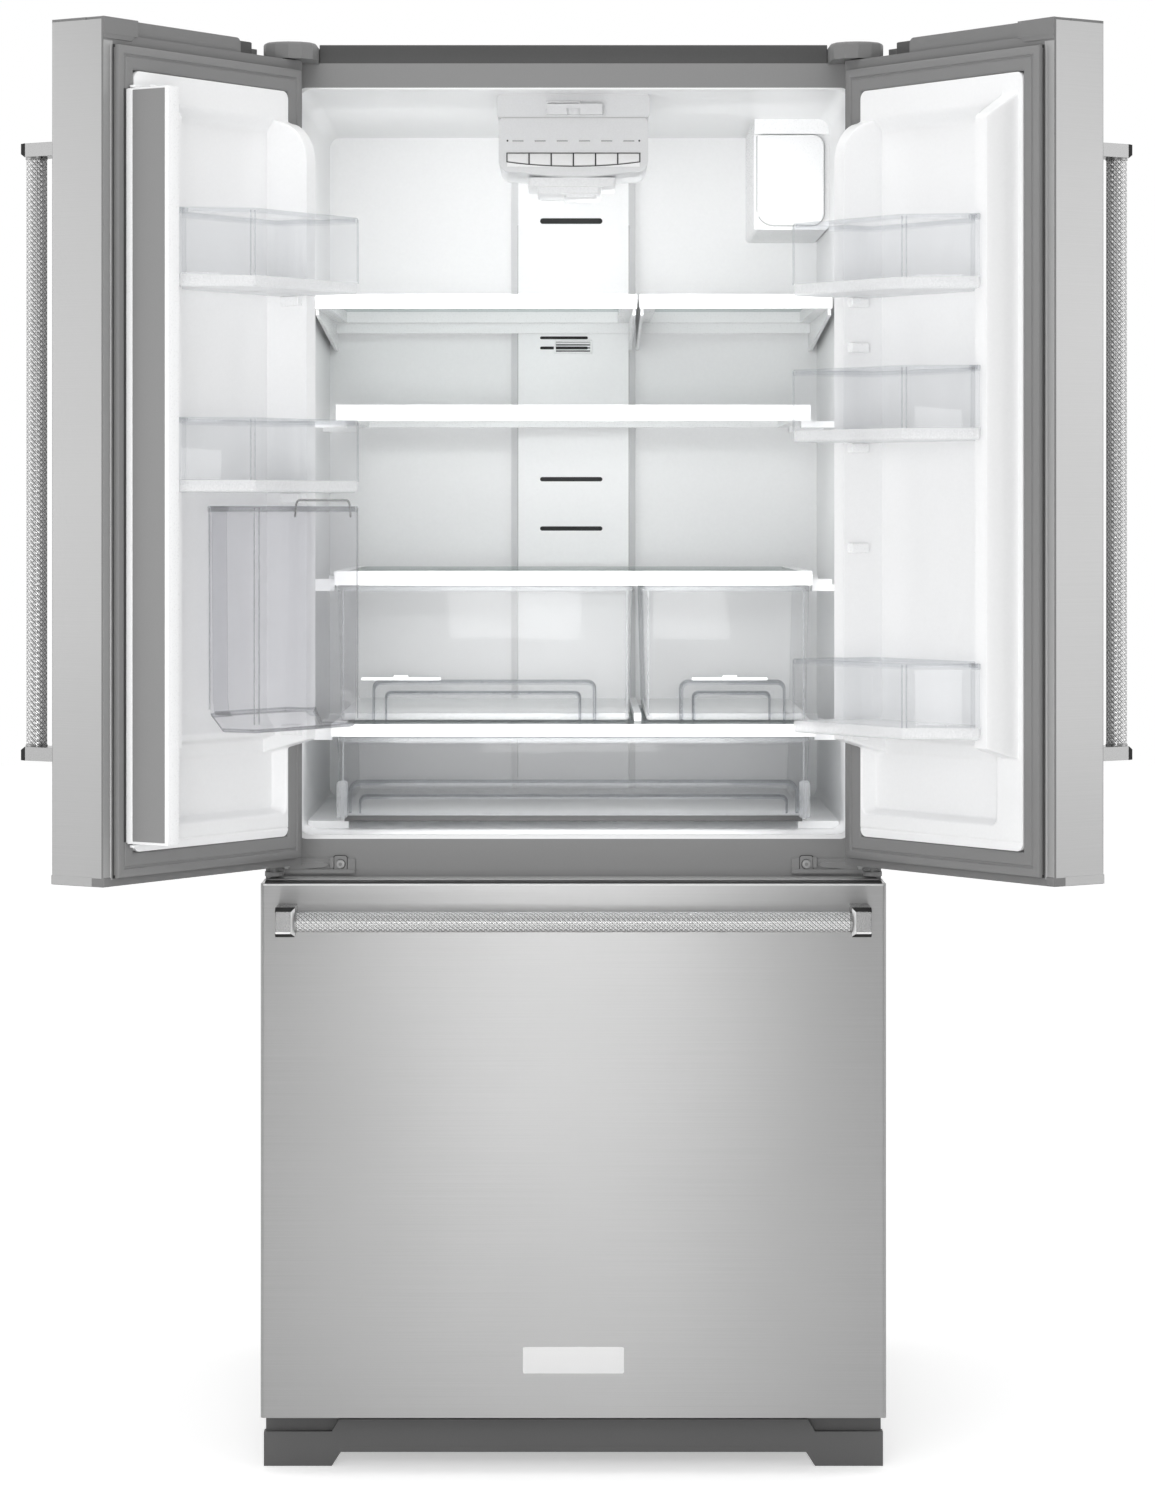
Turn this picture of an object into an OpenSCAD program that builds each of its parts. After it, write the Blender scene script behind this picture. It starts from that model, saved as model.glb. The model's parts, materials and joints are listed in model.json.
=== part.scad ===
// French door refrigerator with a bottom freezer drawer.
// Both doors stand open about their hinge pins; every drawer is closed.
// X runs to the viewer's right, Y to the back and Z up, in millimetres.
// Modules measure depth from the face of the closed doors; placed() moves
// that face to its place in front of the origin.

/* [Cabinet] */
// Outer width of the cabinet and of the drawer front
cabinet_w = 756; // [720:2:800]
// Depth from the face of the closed doors to the back of the cabinet
cabinet_d = 840; // [800:5:900]
// Height of the underside of the cabinet above the floor
base_h = 62; // [60:1:70]
// Thickness of the insulated floor below the freezer
floor_t = 50; // [45:1:60]
// Height of the freezer opening
freezer_h = 568; // [560:1:600]
// Height of the rail between freezer and fridge
rail_h = 83; // [80:1:90]
// Height of the fridge opening
fridge_h = 923; // [918:1:960]
// Thickness of the insulated roof
roof_t = 30; // [28:1:40]
// Thickness of the insulated side walls
wall_t = 38; // [36:1:40]
// Thickness of the insulation behind the liners
back_t = 77.4; // [60:0.2:90]
// Thickness of the moulded liners
liner_t = 2; // [1.5:0.1:2.5]
// Thickness of the cabinet sheet steel
sheet = 0.8; // [0.6:0.1:1.2]
// Thickness of the front frame
frame_t = 3; // [2:0.5:4]

/* [Doors] */
// Gap between the two doors
door_gap = 4; // [2:0.5:6]
// Angle that the left door stands open
left_open = 123.4; // [100:0.1:126]
// Angle that the right door stands open
right_open = 125.8; // [100:0.1:126]
// Depth of the steel door skin
skin_d = 75.5; // [73:0.5:76]
// Thickness of the plastic inner frame behind the skin
inner_frame_t = 2.5; // [2:0.5:3]
// Thickness of the magnetic gasket
gasket_t = 10.4; // [9:0.1:11]
// Width of the gasket band
gasket_w = 28; // [24:1:30]
// Inset of the gasket from the edges of a door
gasket_in = 13; // [11:0.5:14]
// Clearance between a closed gasket and the front frame
seal_gap = 0.4; // [0.3:0.1:1]
// Distance of a hinge pin from the side of its door
pin_in = 13; // [12.5:0.5:14]
// Depth of a hinge pin behind the door face
pin_d = 45; // [44:0.5:46]
// Radius of the hinge pins
pin_r = 4; // [3:0.5:4.5]
// Running clearance around the hinge pins
pin_gap = 0.08; // [0.05:0.01:0.1]
// Height of the gap between the drawer front and the doors
door_lift = 20; // [18:0.5:24]
// Rise of the doors above the cabinet roof
door_rise = 15.5; // [13:0.5:18]
// Depth of the moulded ridges on the door liners
ridge_d = 46; // [40:1:47]

/* [Drawer] */
// Overlap of the drawer front above the freezer opening
drawer_over = 35.4; // [34:0.1:38]
// Overlap of the drawer front below the freezer opening
drawer_drop = 41.6; // [40.6:0.1:42.6]
// Full travel of the freezer drawer
drawer_travel = 400; // [350:10:410]

/* [Handles] */
// Diameter of the knurled bars
bar_dia = 25; // [20:0.5:27]
// Distance from the door face to the middle of a bar
bar_out = 52; // [48:1:56]
// Length of a handle post along the bar
post_len = 23; // [18:1:28]
// Width of a handle post across the bar
post_w = 36; // [30:1:38]
// Length of a door handle
handle_len = 718; // [600:2:760]
// Height of the lower end of a door handle above the door's lower edge
handle_up = 140; // [100:2:180]
// Distance of a door handle from the free edge of its door
handle_in = 36; // [30:1:45]
// Distance of the drawer handle from the sides of the drawer
drawer_handle_in = 22; // [15:1:40]
// Distance of the drawer handle below the upper edge of the drawer
drawer_handle_down = 41; // [35:1:60]

/* [Shelves] */
// Height of the upper shelves above the fridge floor
upper_shelf_z = 662; // [658:1:668]
// Height of the middle shelf above the fridge floor
middle_shelf_z = 518; // [500:1:540]
// Height of the crisper cover above the fridge floor
crisper_cover_z = 309; // [307:1:330]
// Height of the pantry cover above the fridge floor
pantry_cover_z = 121.5; // [121:0.5:125]
// Thickness of the shelf frames
shelf_t = 18; // [16:0.5:20]
// Thickness of the pantry cover
pantry_cover_t = 15; // [13:0.5:16]
// Thickness of the glass panes
glass_t = 3.2; // [3:0.2:4]
// Distance of the middle shelf and the drawer covers from the side walls
cover_in = 36; // [35:0.5:38]

/* [Drawers inside] */
// Wall of the clear drawers
pan_t = 2.5; // [2:0.1:3]
// Travel of the crispers, which ends at the bins of the open doors
crisper_travel = 190; // [150:5:195]
// Travel of the pantry drawer
pantry_travel = 320; // [200:10:330]
// Clearance around each sliding drawer
slide_gap = 1; // [0.6:0.1:1.5]

/* [Door bins] */
// Wall of the clear bins
bin_t = 2.5; // [2:0.1:3]
// Depth from the door face to the front of the bins
bin_front = 203; // [190:1:203]
// Height of the bins
bin_h = 86; // [75:1:90]

/* [Buttons] */
// Number of buttons on the control housing
button_count = 6; // [6:1:6]
// Travel of a button
button_travel = 1; // [0.5:0.1:1.5]

/* [Hidden] */
$fn = 48;
e = 0.5;                                  // how far a cut reaches past a face

half_w = cabinet_w / 2;
open_half = half_w - wall_t;              // half width of both openings
freezer_z0 = base_h + floor_t;
freezer_z1 = freezer_z0 + freezer_h;
fridge_z0 = freezer_z1 + rail_h;
fridge_z1 = fridge_z0 + fridge_h;
cabinet_h = fridge_z1 + roof_t;
inner_d = skin_d + inner_frame_t;         // depth of the door behind its face
gasket_d = inner_d + gasket_t;
frame_d = gasket_d + seal_gap;            // depth of the front frame's face
shell_d = frame_d + frame_t;
back_d = cabinet_d - sheet;
liner_back = back_d - back_t;
cavity_half = open_half - liner_t;
cavity_back = liner_back - liner_t;
cover_half = cavity_half - cover_in;
cavity_z0 = fridge_z0 + liner_t + 3;      // the floor is a little thicker
cavity_z1 = fridge_z1 - liner_t;

// machine compartment
machine_z1 = base_h + 268;
machine_d = cabinet_d - 238;
machine_foam = 42;                        // insulation around the compartment

// doors
door_w = (cabinet_w - door_gap) / 2;
drawer_z0 = freezer_z0 - drawer_drop;
drawer_z1 = freezer_z1 + drawer_over;
door_z0 = drawer_z1 + door_lift;
door_z1 = cabinet_h + door_rise;
cap_bottom = 10;
cap_top = 3;
frame_top = 18.5;                         // the inner frame ends this far below the door top
notch_u = 68;                             // length of the notch for the hinge cover
notch_v = 9;
pin_x = half_w - pin_in;
ridge_top = inner_d + gasket_t + ridge_d;
ridge_z0 = door_z0 + 157;
ridge_z1 = door_z1 - 112;
ridge_slope = 18;
ridge_round = 46;
ridge_hinge_u = [45, 63];
ridge_free_u = [door_w - 75, door_w - 54.5];
panel_d = 77;
pocket_d = 70;
bin_u = [50, door_w - 55];
bin_inner_u = [69, door_w - 80];
bin_chamfer = 67;
bin_back = 92;
bin_shoulder = ridge_top + 0.6;

// flipper mullion, folded against the inside of the left door
flipper_u1 = door_w - 27.7;
flipper_t = 22;
flipper_w = 60;
flipper_v0 = gasket_d + 2;
flipper_pin = [flipper_u1 - 4, flipper_v0 + 4];
flipper_pin_r = 1.5;
flipper_z0 = fridge_z0 + 21;
flipper_z1 = fridge_z1 - 35;
flipper_face = [8, 54];
flipper_face_t = 1.2;

// origin: below the middle of the part as it stands with its doors open
function door_front(u, v) = pin_d - (u - pin_in) * sin(left_open) + (v - pin_d) * cos(left_open);
front_most = door_front(flipper_u1, flipper_v0 + flipper_w);
face_y = -(front_most + cabinet_d) / 2;

// ---------- helpers ----------
module placed() translate([0, face_y, 0]) children();

module block(x, y, z)
    translate([x[0], y[0], z[0]]) cube([x[1] - x[0], y[1] - y[0], z[1] - z[0]]);

// raises a plan outline from z[0] to z[1]
module upright(z) translate([0, 0, z[0]]) linear_extrude(z[1] - z[0]) children();

// carries a front outline back from y[0] to y[1]
module backward(y) translate([0, y[1], 0]) rotate([90, 0, 0]) linear_extrude(y[1] - y[0]) children();

// carries a side outline, drawn as depth and height, from x[0] to x[1]
module across(x) translate([x[0], 0, 0]) rotate([90, 0, 90]) linear_extrude(x[1] - x[0]) children();

module both_sides() {
    children();
    mirror([1, 0, 0]) children();
}

module rounded(x, y, r) {
    translate([x[0] + r, y[0]]) square([x[1] - x[0] - 2 * r, y[1] - y[0]]);
    translate([x[0], y[0] + r]) square([x[1] - x[0], y[1] - y[0] - 2 * r]);
    for (cx = [x[0] + r, x[1] - r], cy = [y[0] + r, y[1] - r]) translate([cx, cy]) circle(r);
}

module ring(x, y, w, r) difference() {
    rounded(x, y, r);
    rounded([x[0] + w, x[1] - w], [y[0] + w, y[1] - w], r / 2);
}

// an open box with a rounded plan
module tray(x, y, z, t, r) difference() {
    upright(z) rounded(x, y, r);
    upright([z[0] + t, z[1] + e]) rounded([x[0] + t, x[1] - t], [y[0] + t, y[1] - t], r - t / 2);
}

module rod(from, axis, length, r) translate(from)
    rotate(axis == "x" ? [0, 90, 0] : axis == "y" ? [-90, 0, 0] : [0, 0, 0]) cylinder(h = length, r = r);

// a door drawn from its hinge edge inward and from its face back, hung on its pin
module hung(open) translate([-pin_x, pin_d, 0]) rotate([0, 0, -open])
    translate([-pin_in, -pin_d, 0]) children();
module hung_left() hung(left_open) children();
module hung_right() mirror([1, 0, 0]) hung(right_open) children();

// ---------- cabinet ----------
module cabinet_shell() color("silver") difference() {
    block([-half_w, half_w], [shell_d, cabinet_d], [base_h, cabinet_h]);
    block([-half_w + sheet, half_w - sheet], [shell_d - e, cabinet_d + e],
        [base_h + sheet, cabinet_h - sheet]);
}

module opening(z, r) rounded([-open_half, open_half], z, r);

module front_frame() color("gray") backward([frame_d, shell_d]) difference() {
    translate([-half_w, base_h]) square([cabinet_w, cabinet_h - base_h]);
    opening([fridge_z0, fridge_z1], 12);
    opening([freezer_z0, freezer_z1], 12);
}

// side outline of the freezer: it steps forward over the machine compartment
module freezer_outline(t) {
    translate([frame_d - e, freezer_z0 + t])
        square([machine_d - machine_foam - frame_d + e - t, freezer_h - 2 * t]);
    translate([frame_d - e, machine_z1 + machine_foam + t])
        square([liner_back - frame_d + e - t, freezer_z1 - machine_z1 - machine_foam - 2 * t]);
}

module freezer_body(t) across([-open_half + t, open_half - t]) freezer_outline(t);

module cabinet_foam() color("khaki") difference() {
    block([-half_w + sheet, half_w - sheet], [shell_d, back_d], [base_h + sheet, cabinet_h - sheet]);
    backward([frame_d, liner_back]) opening([fridge_z0, fridge_z1], 12);
    intersection() {
        freezer_body(0);
        backward([frame_d - e, liner_back]) opening([freezer_z0, freezer_z1], 12);
    }
    block([-half_w, half_w], [machine_d, cabinet_d], [base_h, machine_z1]);
}

lug = [8, 36];                            // height and reach of the shelf lugs
lug_back = cavity_back - 160;             // depth of the lugs at the back
module shelf_lugs(z, depths, reach) both_sides() for (d = depths)
    block([cavity_half - reach, cavity_half + liner_t / 2], [d, d + 40], [z - lug[0], z]);

module fridge_liner() color("white") {
    difference() {
        backward([frame_d, liner_back]) opening([fridge_z0, fridge_z1], 12);
        backward([frame_d - e, cavity_back])
            rounded([-cavity_half, cavity_half], [cavity_z0, cavity_z1], 16);
    }
    shelf_lugs(fridge_z0 + middle_shelf_z, [middle_d[0] + 40, lug_back], lug[1] + 10);
    shelf_lugs(fridge_z0 + crisper_cover_z, [crisper_cover_y[0] + 55, lug_back],
        cavity_half - cover_half - 3);
    shelf_lugs(fridge_z0 + pantry_cover_z, [pantry_cover_y[0] + 75, lug_back],
        cavity_half - cover_half - 3);
    // rails that the pantry drawer runs on
    both_sides() block([cavity_half - lug[1] - 20, cavity_half - 5],
        [pantry_y[0] + 25, pantry_y[1] - 50],
        [cavity_z0 - 1, cavity_z0 + pan_lift - slide_gap]);
}

module freezer_liner() color("whitesmoke") {
    difference() {
        intersection() {
            freezer_body(0);
            backward([frame_d, liner_back]) opening([freezer_z0, freezer_z1], 12);
        }
        intersection() {
            freezer_body(liner_t);
            backward([frame_d - e, liner_back]) rounded([-cavity_half, cavity_half],
                [freezer_z0 + liner_t, freezer_z1 - liner_t], 16);
        }
    }
    // ledges that guide the drawer's rails and carry the upper basket
    both_sides() for (z = [rail_z[0] - 7.5, rail_z[1] + 0.5, upper_basket_z[1] - 14.5])
        block([track_x[0], cavity_half + liner_t / 2], [upper_basket_y[0] + 15, basket_y[1] - 5],
            [z, z + 6]);
}

inlet_at = [half_w - 58, base_h + 138];
inlet_r = 3.25;
inlet_len = 25;
module rear_covers() {
    color("lightgray") block([-half_w + sheet, half_w - sheet], [back_d, cabinet_d],
        [machine_z1 + 4, cabinet_h - sheet]);
    color("dimgray") difference() {
        block([-half_w + sheet, half_w - sheet], [back_d, cabinet_d], [base_h + sheet, machine_z1]);
        for (x = [-half_w + 58:30:half_w - 98], z = [base_h + 48, base_h + 128]) translate([x, 0, z])
            backward([back_d - e, cabinet_d + e]) rounded([-5, 5], [0, 60], 4.9);
        rod([inlet_at[0], back_d - e, inlet_at[1]], "y", sheet + 2 * e, inlet_r);
    }
    // socket for the water line
    color("white") difference() {
        rod([inlet_at[0], cabinet_d - inlet_len, inlet_at[1]], "y", inlet_len - sheet, 9);
        rod([inlet_at[0], cabinet_d - inlet_len - e, inlet_at[1]], "y", inlet_len + 2 * e, inlet_r);
    }
}

compressor_at = [half_w - 188, cabinet_d - 120];
module compressor() color("black") translate([compressor_at[0], compressor_at[1], base_h + sheet]) {
    rotate_extrude() {
        translate([0, 18]) square([88, 6]);
        translate([0, 24]) square([80, 110]);
        translate([0, 134]) square([62, 14]);
    }
    for (x = [-70, 70], y = [-70, 70]) translate([x * 0.82, y * 0.82, 0]) cylinder(h = 20, r = 9);
    rod([0, -60, 145], "z", 40, 4);
}

coil_x = [-half_w + 48, -half_w + 288];
coil_pitch = 26;
coil_rows = 8;
coil_d = cabinet_d - 150;
fan_at = [-half_w + 168, cabinet_d - 85, base_h + 128];
fan_r = 78;
fan_shaft_r = 3;
module coil(x, d, z0, pitch, rows, r) {
    for (i = [0:rows - 1]) rod([x[0], d, z0 + i * pitch], "x", x[1] - x[0], r);
    for (i = [0:rows - 2]) translate([i % 2 == 0 ? x[1] : x[0], d, z0 + (i + 0.5) * pitch])
        rotate([90, 0, i % 2 == 0 ? 0 : 180]) rotate([0, 0, -90])
            rotate_extrude(angle = 180) translate([pitch / 2, 0]) circle(r);
}

module condenser() {
    color("dimgray") coil(coil_x, coil_d, base_h + 30, coil_pitch, coil_rows, 4);
    // plates that the tubes pass through, standing on the pan
    color("dimgray") for (x = [coil_x[0] + 6, coil_x[1] - 8]) difference() {
        block([x, x + 2], [coil_d - 9, coil_d + 9],
            [base_h + sheet, base_h + 44 + (coil_rows - 1) * coil_pitch]);
        for (i = [0:coil_rows - 1]) rod([x - e, coil_d, base_h + 30 + i * coil_pitch], "x", 2 + 2 * e, 4);
    }
    color("black") difference() {
        block([fan_at[0] - fan_r - 14, fan_at[0] + fan_r + 14], [fan_at[1] - 14, fan_at[1] + 14],
            [base_h + sheet, fan_at[2] + fan_r + 14]);
        rod([fan_at[0], fan_at[1] - 14 - e, fan_at[2]], "y", 28 + 2 * e, fan_r + 4);
    }
    color("black") difference() {
        union() {
            rod([fan_at[0], fan_at[1] + 16, fan_at[2]], "y", 34, 24);
            for (a = [0:90:270]) translate([fan_at[0], fan_at[1] + 20, fan_at[2]]) rotate([0, a, 0])
                block([20, fan_r + 10], [-6, 0], [-4, 4]);
        }
        rod([fan_at[0], fan_at[1] + 10, fan_at[2]], "y", 20, fan_shaft_r + pin_gap);
    }
}

module condenser_fan() color("gray") translate(fan_at) {
    rod([0, -12, 0], "y", 22, 20);
    rod([0, 0, 0], "y", 28, fan_shaft_r);
    for (a = [0:72:288]) rotate([0, a, 0]) translate([16, 0, 0]) rotate([35, 0, 0])
        translate([0, -1, -14]) cube([fan_r - 18, 2, 28]);
}

evap_half = cavity_half - 108;
evap_z = [machine_z1 + machine_foam + 40, freezer_z1 - 60];
module evaporator() {
    color("lightgray") coil([-evap_half, evap_half], cavity_back - 24, evap_z[0] + 20, 28, 7, 5);
    // plates that the tubes pass through, fixed to the back wall
    color("lightgray") for (x = [-evap_half + 4, evap_half - 7]) difference() {
        block([x, x + 3], [cavity_back - 40, cavity_back], [evap_z[0], evap_z[0] + 208]);
        for (i = [0:6]) rod([x - e, cavity_back - 24, evap_z[0] + 20 + i * 28], "x", 3 + 2 * e, 5);
    }
    color("whitesmoke") difference() {
        block([-cavity_half, cavity_half], [cavity_back - 50, cavity_back - 47],
            [evap_z[0] - 30, evap_z[1] + 40]);
        for (x = [-evap_half + 30:40:evap_half - 30])
            translate([x, 0, evap_z[1]]) backward([cavity_back - 51, cavity_back - 46])
            rounded([-15, 15], [0, 8], 3.9);
    }
}

rail_half = [half_w - 76, half_w - 4];
rail_d = [110, cabinet_d - 10];
axle_d = cabinet_d - 70;
roller_r = 24;
axle_r = 4;
leg_d = 150;
module base_frame() color("dimgray") both_sides() difference() {
    union() {
        block(rail_half, rail_d, [base_h - 3, base_h]);
        for (x = rail_half) block([x - 1.5, x + 1.5], rail_d, [34, base_h - 2]);
        for (x = rail_half) block([x - 1.5, x + 1.5], [axle_d - 30, axle_d + 30], [roller_r - 10, 40]);
    }
    rod([rail_half[0] - 5, axle_d, roller_r], "x", 90, axle_r + pin_gap);
    rod([(rail_half[0] + rail_half[1]) / 2, leg_d, base_h - 5], "z", 10, 6.4);
}

module rear_rollers() color("dimgray") {
    both_sides() rod([(rail_half[0] + rail_half[1]) / 2 - 11, axle_d, roller_r], "x", 22, roller_r);
    rod([-rail_half[1] - 3, axle_d, roller_r], "x", 2 * rail_half[1] + 6, axle_r);
}

module leveling_legs() color("black") both_sides()
    translate([(rail_half[0] + rail_half[1]) / 2, leg_d, 0]) {
        cylinder(h = 8, r = 20);
        cylinder(h = base_h, r = 6);
        translate([0, 0, base_h - 13]) cylinder(h = 10, r = 11, $fn = 6);
    }

kick_d = 55;
foot_w = 83;
kick_z = [base_h - 45, base_h - 5];
module kick_plate() color("dimgray") {
    backward([kick_d, kick_d + 16]) polygon([[-half_w, 0], [-half_w + foot_w, 0],
        [-half_w + foot_w + 11, kick_z[0]], [half_w - foot_w - 11, kick_z[0]], [half_w - foot_w, 0],
        [half_w, 0], [half_w, kick_z[1] - 15], [half_w - foot_w, kick_z[1] - 15],
        [half_w - foot_w - 9, kick_z[1]], [-half_w + foot_w + 9, kick_z[1]],
        [-half_w + foot_w, kick_z[1] - 15], [-half_w, kick_z[1] - 15]]);
    // set-back web above each foot
    both_sides() block([half_w - foot_w - 9, half_w - 2], [kick_d + 10, kick_d + 16],
        [kick_z[1] - 16, kick_z[1]]);
    // arms that clip it to the base frame
    both_sides() block([rail_half[0] - 6, rail_half[0] + 6], [kick_d + 15, rail_d[0]], [24, 40]);
}

// ---------- door hinges ----------
cover_w = 65;
cover_back = 190;
strip_t = 23;
cover_h = [door_z1 - frame_top + 1.5, cabinet_h + strip_t];
module cover_plan(inset) {
    translate([half_w - 0.5 - cover_w / 2, pin_d]) circle(cover_w / 2 - inset);
    translate([half_w - 0.5 - cover_w + inset, pin_d])
        square([cover_w - 2 * inset, cover_back - pin_d - inset]);
}

bracket_z = cabinet_h;
bracket_t = 5;
hinge_arm = 8;                            // half width of the upper arm
module top_hinge() {
    // plate on the roof, arm over the door and pin down into the door's cap
    upright([bracket_z, bracket_z + bracket_t]) {
        translate([pin_x, pin_d]) circle(hinge_arm);
        translate([pin_x - hinge_arm, pin_d]) square([2 * hinge_arm, shell_d + 60 - pin_d]);
        translate([pin_x - 45, shell_d + 12]) square([45 + hinge_arm, 70]);
    }
    rod([pin_x, pin_d, door_z1 - frame_top - 7], "z", bracket_z - door_z1 + frame_top + 8, pin_r);
}

module center_hinge() {
    arm_z = [drawer_z1 + 6, drawer_z1 + 11];
    upright(arm_z) {
        translate([pin_x, pin_d]) circle(11);
        translate([pin_x - 11, pin_d]) square([22, frame_d - 7 - pin_d]);
        translate([half_w - 110, frame_d - 12]) square([108, 7]);
    }
    block([half_w - 110, half_w - 2], [frame_d - 5, frame_d], [arm_z[0], arm_z[0] + 18]);
    rod([pin_x, pin_d, arm_z[1] - 1], "z", door_z0 - arm_z[1] + cap_bottom, pin_r);
}

module door_hinges() color("dimgray") both_sides() {
    top_hinge();
    difference() {
        center_hinge();
        rod([half_w - 91, frame_d - 6, drawer_z1 + 17], "y", 7, 3);
    }
    // screws, each a separate solid
    rod([half_w - 91, frame_d - 8, drawer_z1 + 17], "y", 3, 5.5);
    for (d = [32, 62]) rod([pin_x - 30, shell_d + d, bracket_z + bracket_t], "z", 3, 6);
}

module hinge_covers() color("gray") {
    both_sides() difference() {
        upright(cover_h) cover_plan(0);
        upright([cover_h[0] - e, cover_h[1] - 2.5]) cover_plan(2.5);
        block([half_w - cover_w - 5, half_w + 5], [frame_d - e, cover_back + 5],
            [cover_h[0] - 2 * e, cabinet_h]);
    }
    difference() {
        block([-half_w + cover_w + 0.8, half_w - cover_w - 0.8], [frame_d + 1, frame_d + 24],
            [cabinet_h, cabinet_h + strip_t]);
        block([-half_w + cover_w + 3, half_w - cover_w - 3], [frame_d + 3.5, frame_d + 25],
            [cabinet_h - e, cabinet_h + strip_t - 2.5]);
    }
}

// ---------- fridge interior, fixed ----------
tower_half = 86;
tower_d = cavity_back - 38;
tower_slots = [[376, 6], [444, 6], [522, 6], [799, 8]];
module air_tower() color("white") difference() {
    upright([cavity_z0 + 8, cavity_z1]) difference() {
        polygon([[-tower_half, cavity_back], [-tower_half + 10, tower_d], [tower_half - 10, tower_d],
            [tower_half, cavity_back]]);
        polygon([[-tower_half + 4, cavity_back + 1], [-tower_half + 13, tower_d + 3],
            [tower_half - 13, tower_d + 3], [tower_half - 4, cavity_back + 1]]);
    }
    for (s = tower_slots) translate([0, 0, fridge_z0 + s[0]]) backward([tower_d - e, tower_d + 3 + e])
        rounded([-46, 40], [0, s[1]], s[1] / 2 - 0.05);
    for (z = [626, 640]) translate([0, 0, fridge_z0 + z]) backward([tower_d - e, tower_d + 3 + e])
        rounded([-46, 20], [0, 4], 1.9);
}

house_half = 95;
house_d = [153, 330];
house_z0 = cavity_z1 - 101;
strip_z = cavity_z1 - 28;
button_w = 27.6;
button_z = [house_z0 + 12, house_z0 + 28];
button_gap = 0.5;
module house_front(grow) {
    rounded([-house_half + 2 - grow, house_half - 2 + grow], [house_z0 + 5 - grow, strip_z + 4], 14);
    // the lower edge is a shallow arc
    intersection() {
        translate([0, house_z0 + 500 - grow]) circle(500, $fn = 200);
        translate([-house_half + 14, house_z0 - 1 - grow]) square([2 * house_half - 28, 30]);
    }
}
module buttons_outline(grow)
    translate([-button_count * button_w / 2 - grow, button_z[0] - grow])
        square([button_count * button_w + 2 * grow, button_z[1] - button_z[0] + 2 * grow]);

module control_housing() color("white") {
    difference() {
        union() {
            backward(house_d) house_front(0);
            backward([house_d[0] - 3, house_d[1]])
                rounded([-house_half, house_half], [strip_z, cavity_z1], 5);
        }
        backward([house_d[0] + 3, house_d[1] - 3]) translate([-house_half + 6, button_z[0] - 2])
            square([2 * house_half - 12, cavity_z1 - button_z[0] - 6]);
        backward([house_d[0] - e, house_d[0] + 4]) buttons_outline(0);
    }
    // guide for the pin of the flipper mullion
    difference() {
        block([-33, 36], [house_d[0] - 17, house_d[0] - 3], [strip_z + 2, strip_z + 15]);
        rod([0, house_d[0] - 20, strip_z - 1], "z", 10, 9);
    }
    // board that the buttons press on
    block([-house_half + 5, house_half - 5], [house_d[0] + 10, house_d[0] + 12],
        [button_z[0] - 3, button_z[1] + 30]);
}

module control_button(i) color("white") {
    x0 = -button_count * button_w / 2 + (i - 1) * button_w;
    block([x0 + button_gap / 2, x0 + button_w - button_gap / 2], [house_d[0] - 1.5, house_d[0] + 5],
        [button_z[0] + 0.3, button_z[1] - 0.3]);
}

module lamp_lens() color("white") translate([0, 0, house_z0 - 24])
    difference() {
        upright([0, 24]) rounded([-57, 53], [house_d[0] + 27, house_d[1] - 20], 30);
        upright([3, 21]) rounded([-54, 50], [house_d[0] + 30, house_d[1] - 23], 27);
    }

filter_x = [cavity_half - 96, cavity_half - 7];
filter_z = [fridge_z0 + 780, fridge_z0 + 900];
filter_d = cavity_back - 276.8;
filter_at = [(filter_x[0] + filter_x[1]) / 2, (filter_z[0] + filter_z[1]) / 2];
filter_lid = 5;
filter_gap = 0.8;
filter_pin = [filter_x[0] + 2, filter_d - filter_gap - filter_lid / 2];
filter_pin_r = 0.92;
module filter_housing() {
    color("white") difference() {
        backward([filter_d, cavity_back]) rounded([filter_x[0] - 3, cavity_half],
            [filter_z[0] - 5, filter_z[1] + 6], 6);
        backward([filter_d - e, cavity_back - 40]) rounded([filter_x[0] + 3, filter_x[1] - 3],
            [filter_z[0] + 3, filter_z[1] - 3], 12);
    }
    // ears and pin that carry the cover
    color("white") for (z = [filter_z[0] - 5, filter_z[1] + 0.5])
        block([filter_x[0] - 3, filter_x[0] + 6], [filter_pin[1] - 3, filter_d + 1], [z, z + 4.5]);
    color("white") rod([filter_pin[0], filter_pin[1], filter_z[0] - 4], "z",
        filter_z[1] - filter_z[0] + 8, filter_pin_r);
    color("lightblue") rod([filter_at[0], filter_d + 20, filter_at[1]], "y",
        cavity_back - 40 - filter_d - 20, 30);
}

module water_filter_cover() color("white") difference() {
    union() {
        backward([filter_d - filter_lid - filter_gap, filter_d - filter_gap])
            rounded(filter_x, filter_z, 15);
        // straight edge along the hinge
        block([filter_x[0], filter_x[0] + 8], [filter_d - filter_lid - filter_gap, filter_d - filter_gap],
            filter_z);
        // finger ridge
        backward([filter_d - filter_lid - filter_gap - 4, filter_d - filter_lid - filter_gap + 1])
            rounded([filter_x[1] - 18, filter_x[1] - 8], [filter_z[0] + 25, filter_z[1] - 25], 4);
    }
    rod([filter_pin[0], filter_pin[1], filter_z[0] - 1], "z", filter_z[1] - filter_z[0] + 2,
        filter_pin_r + pin_gap);
}

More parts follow.
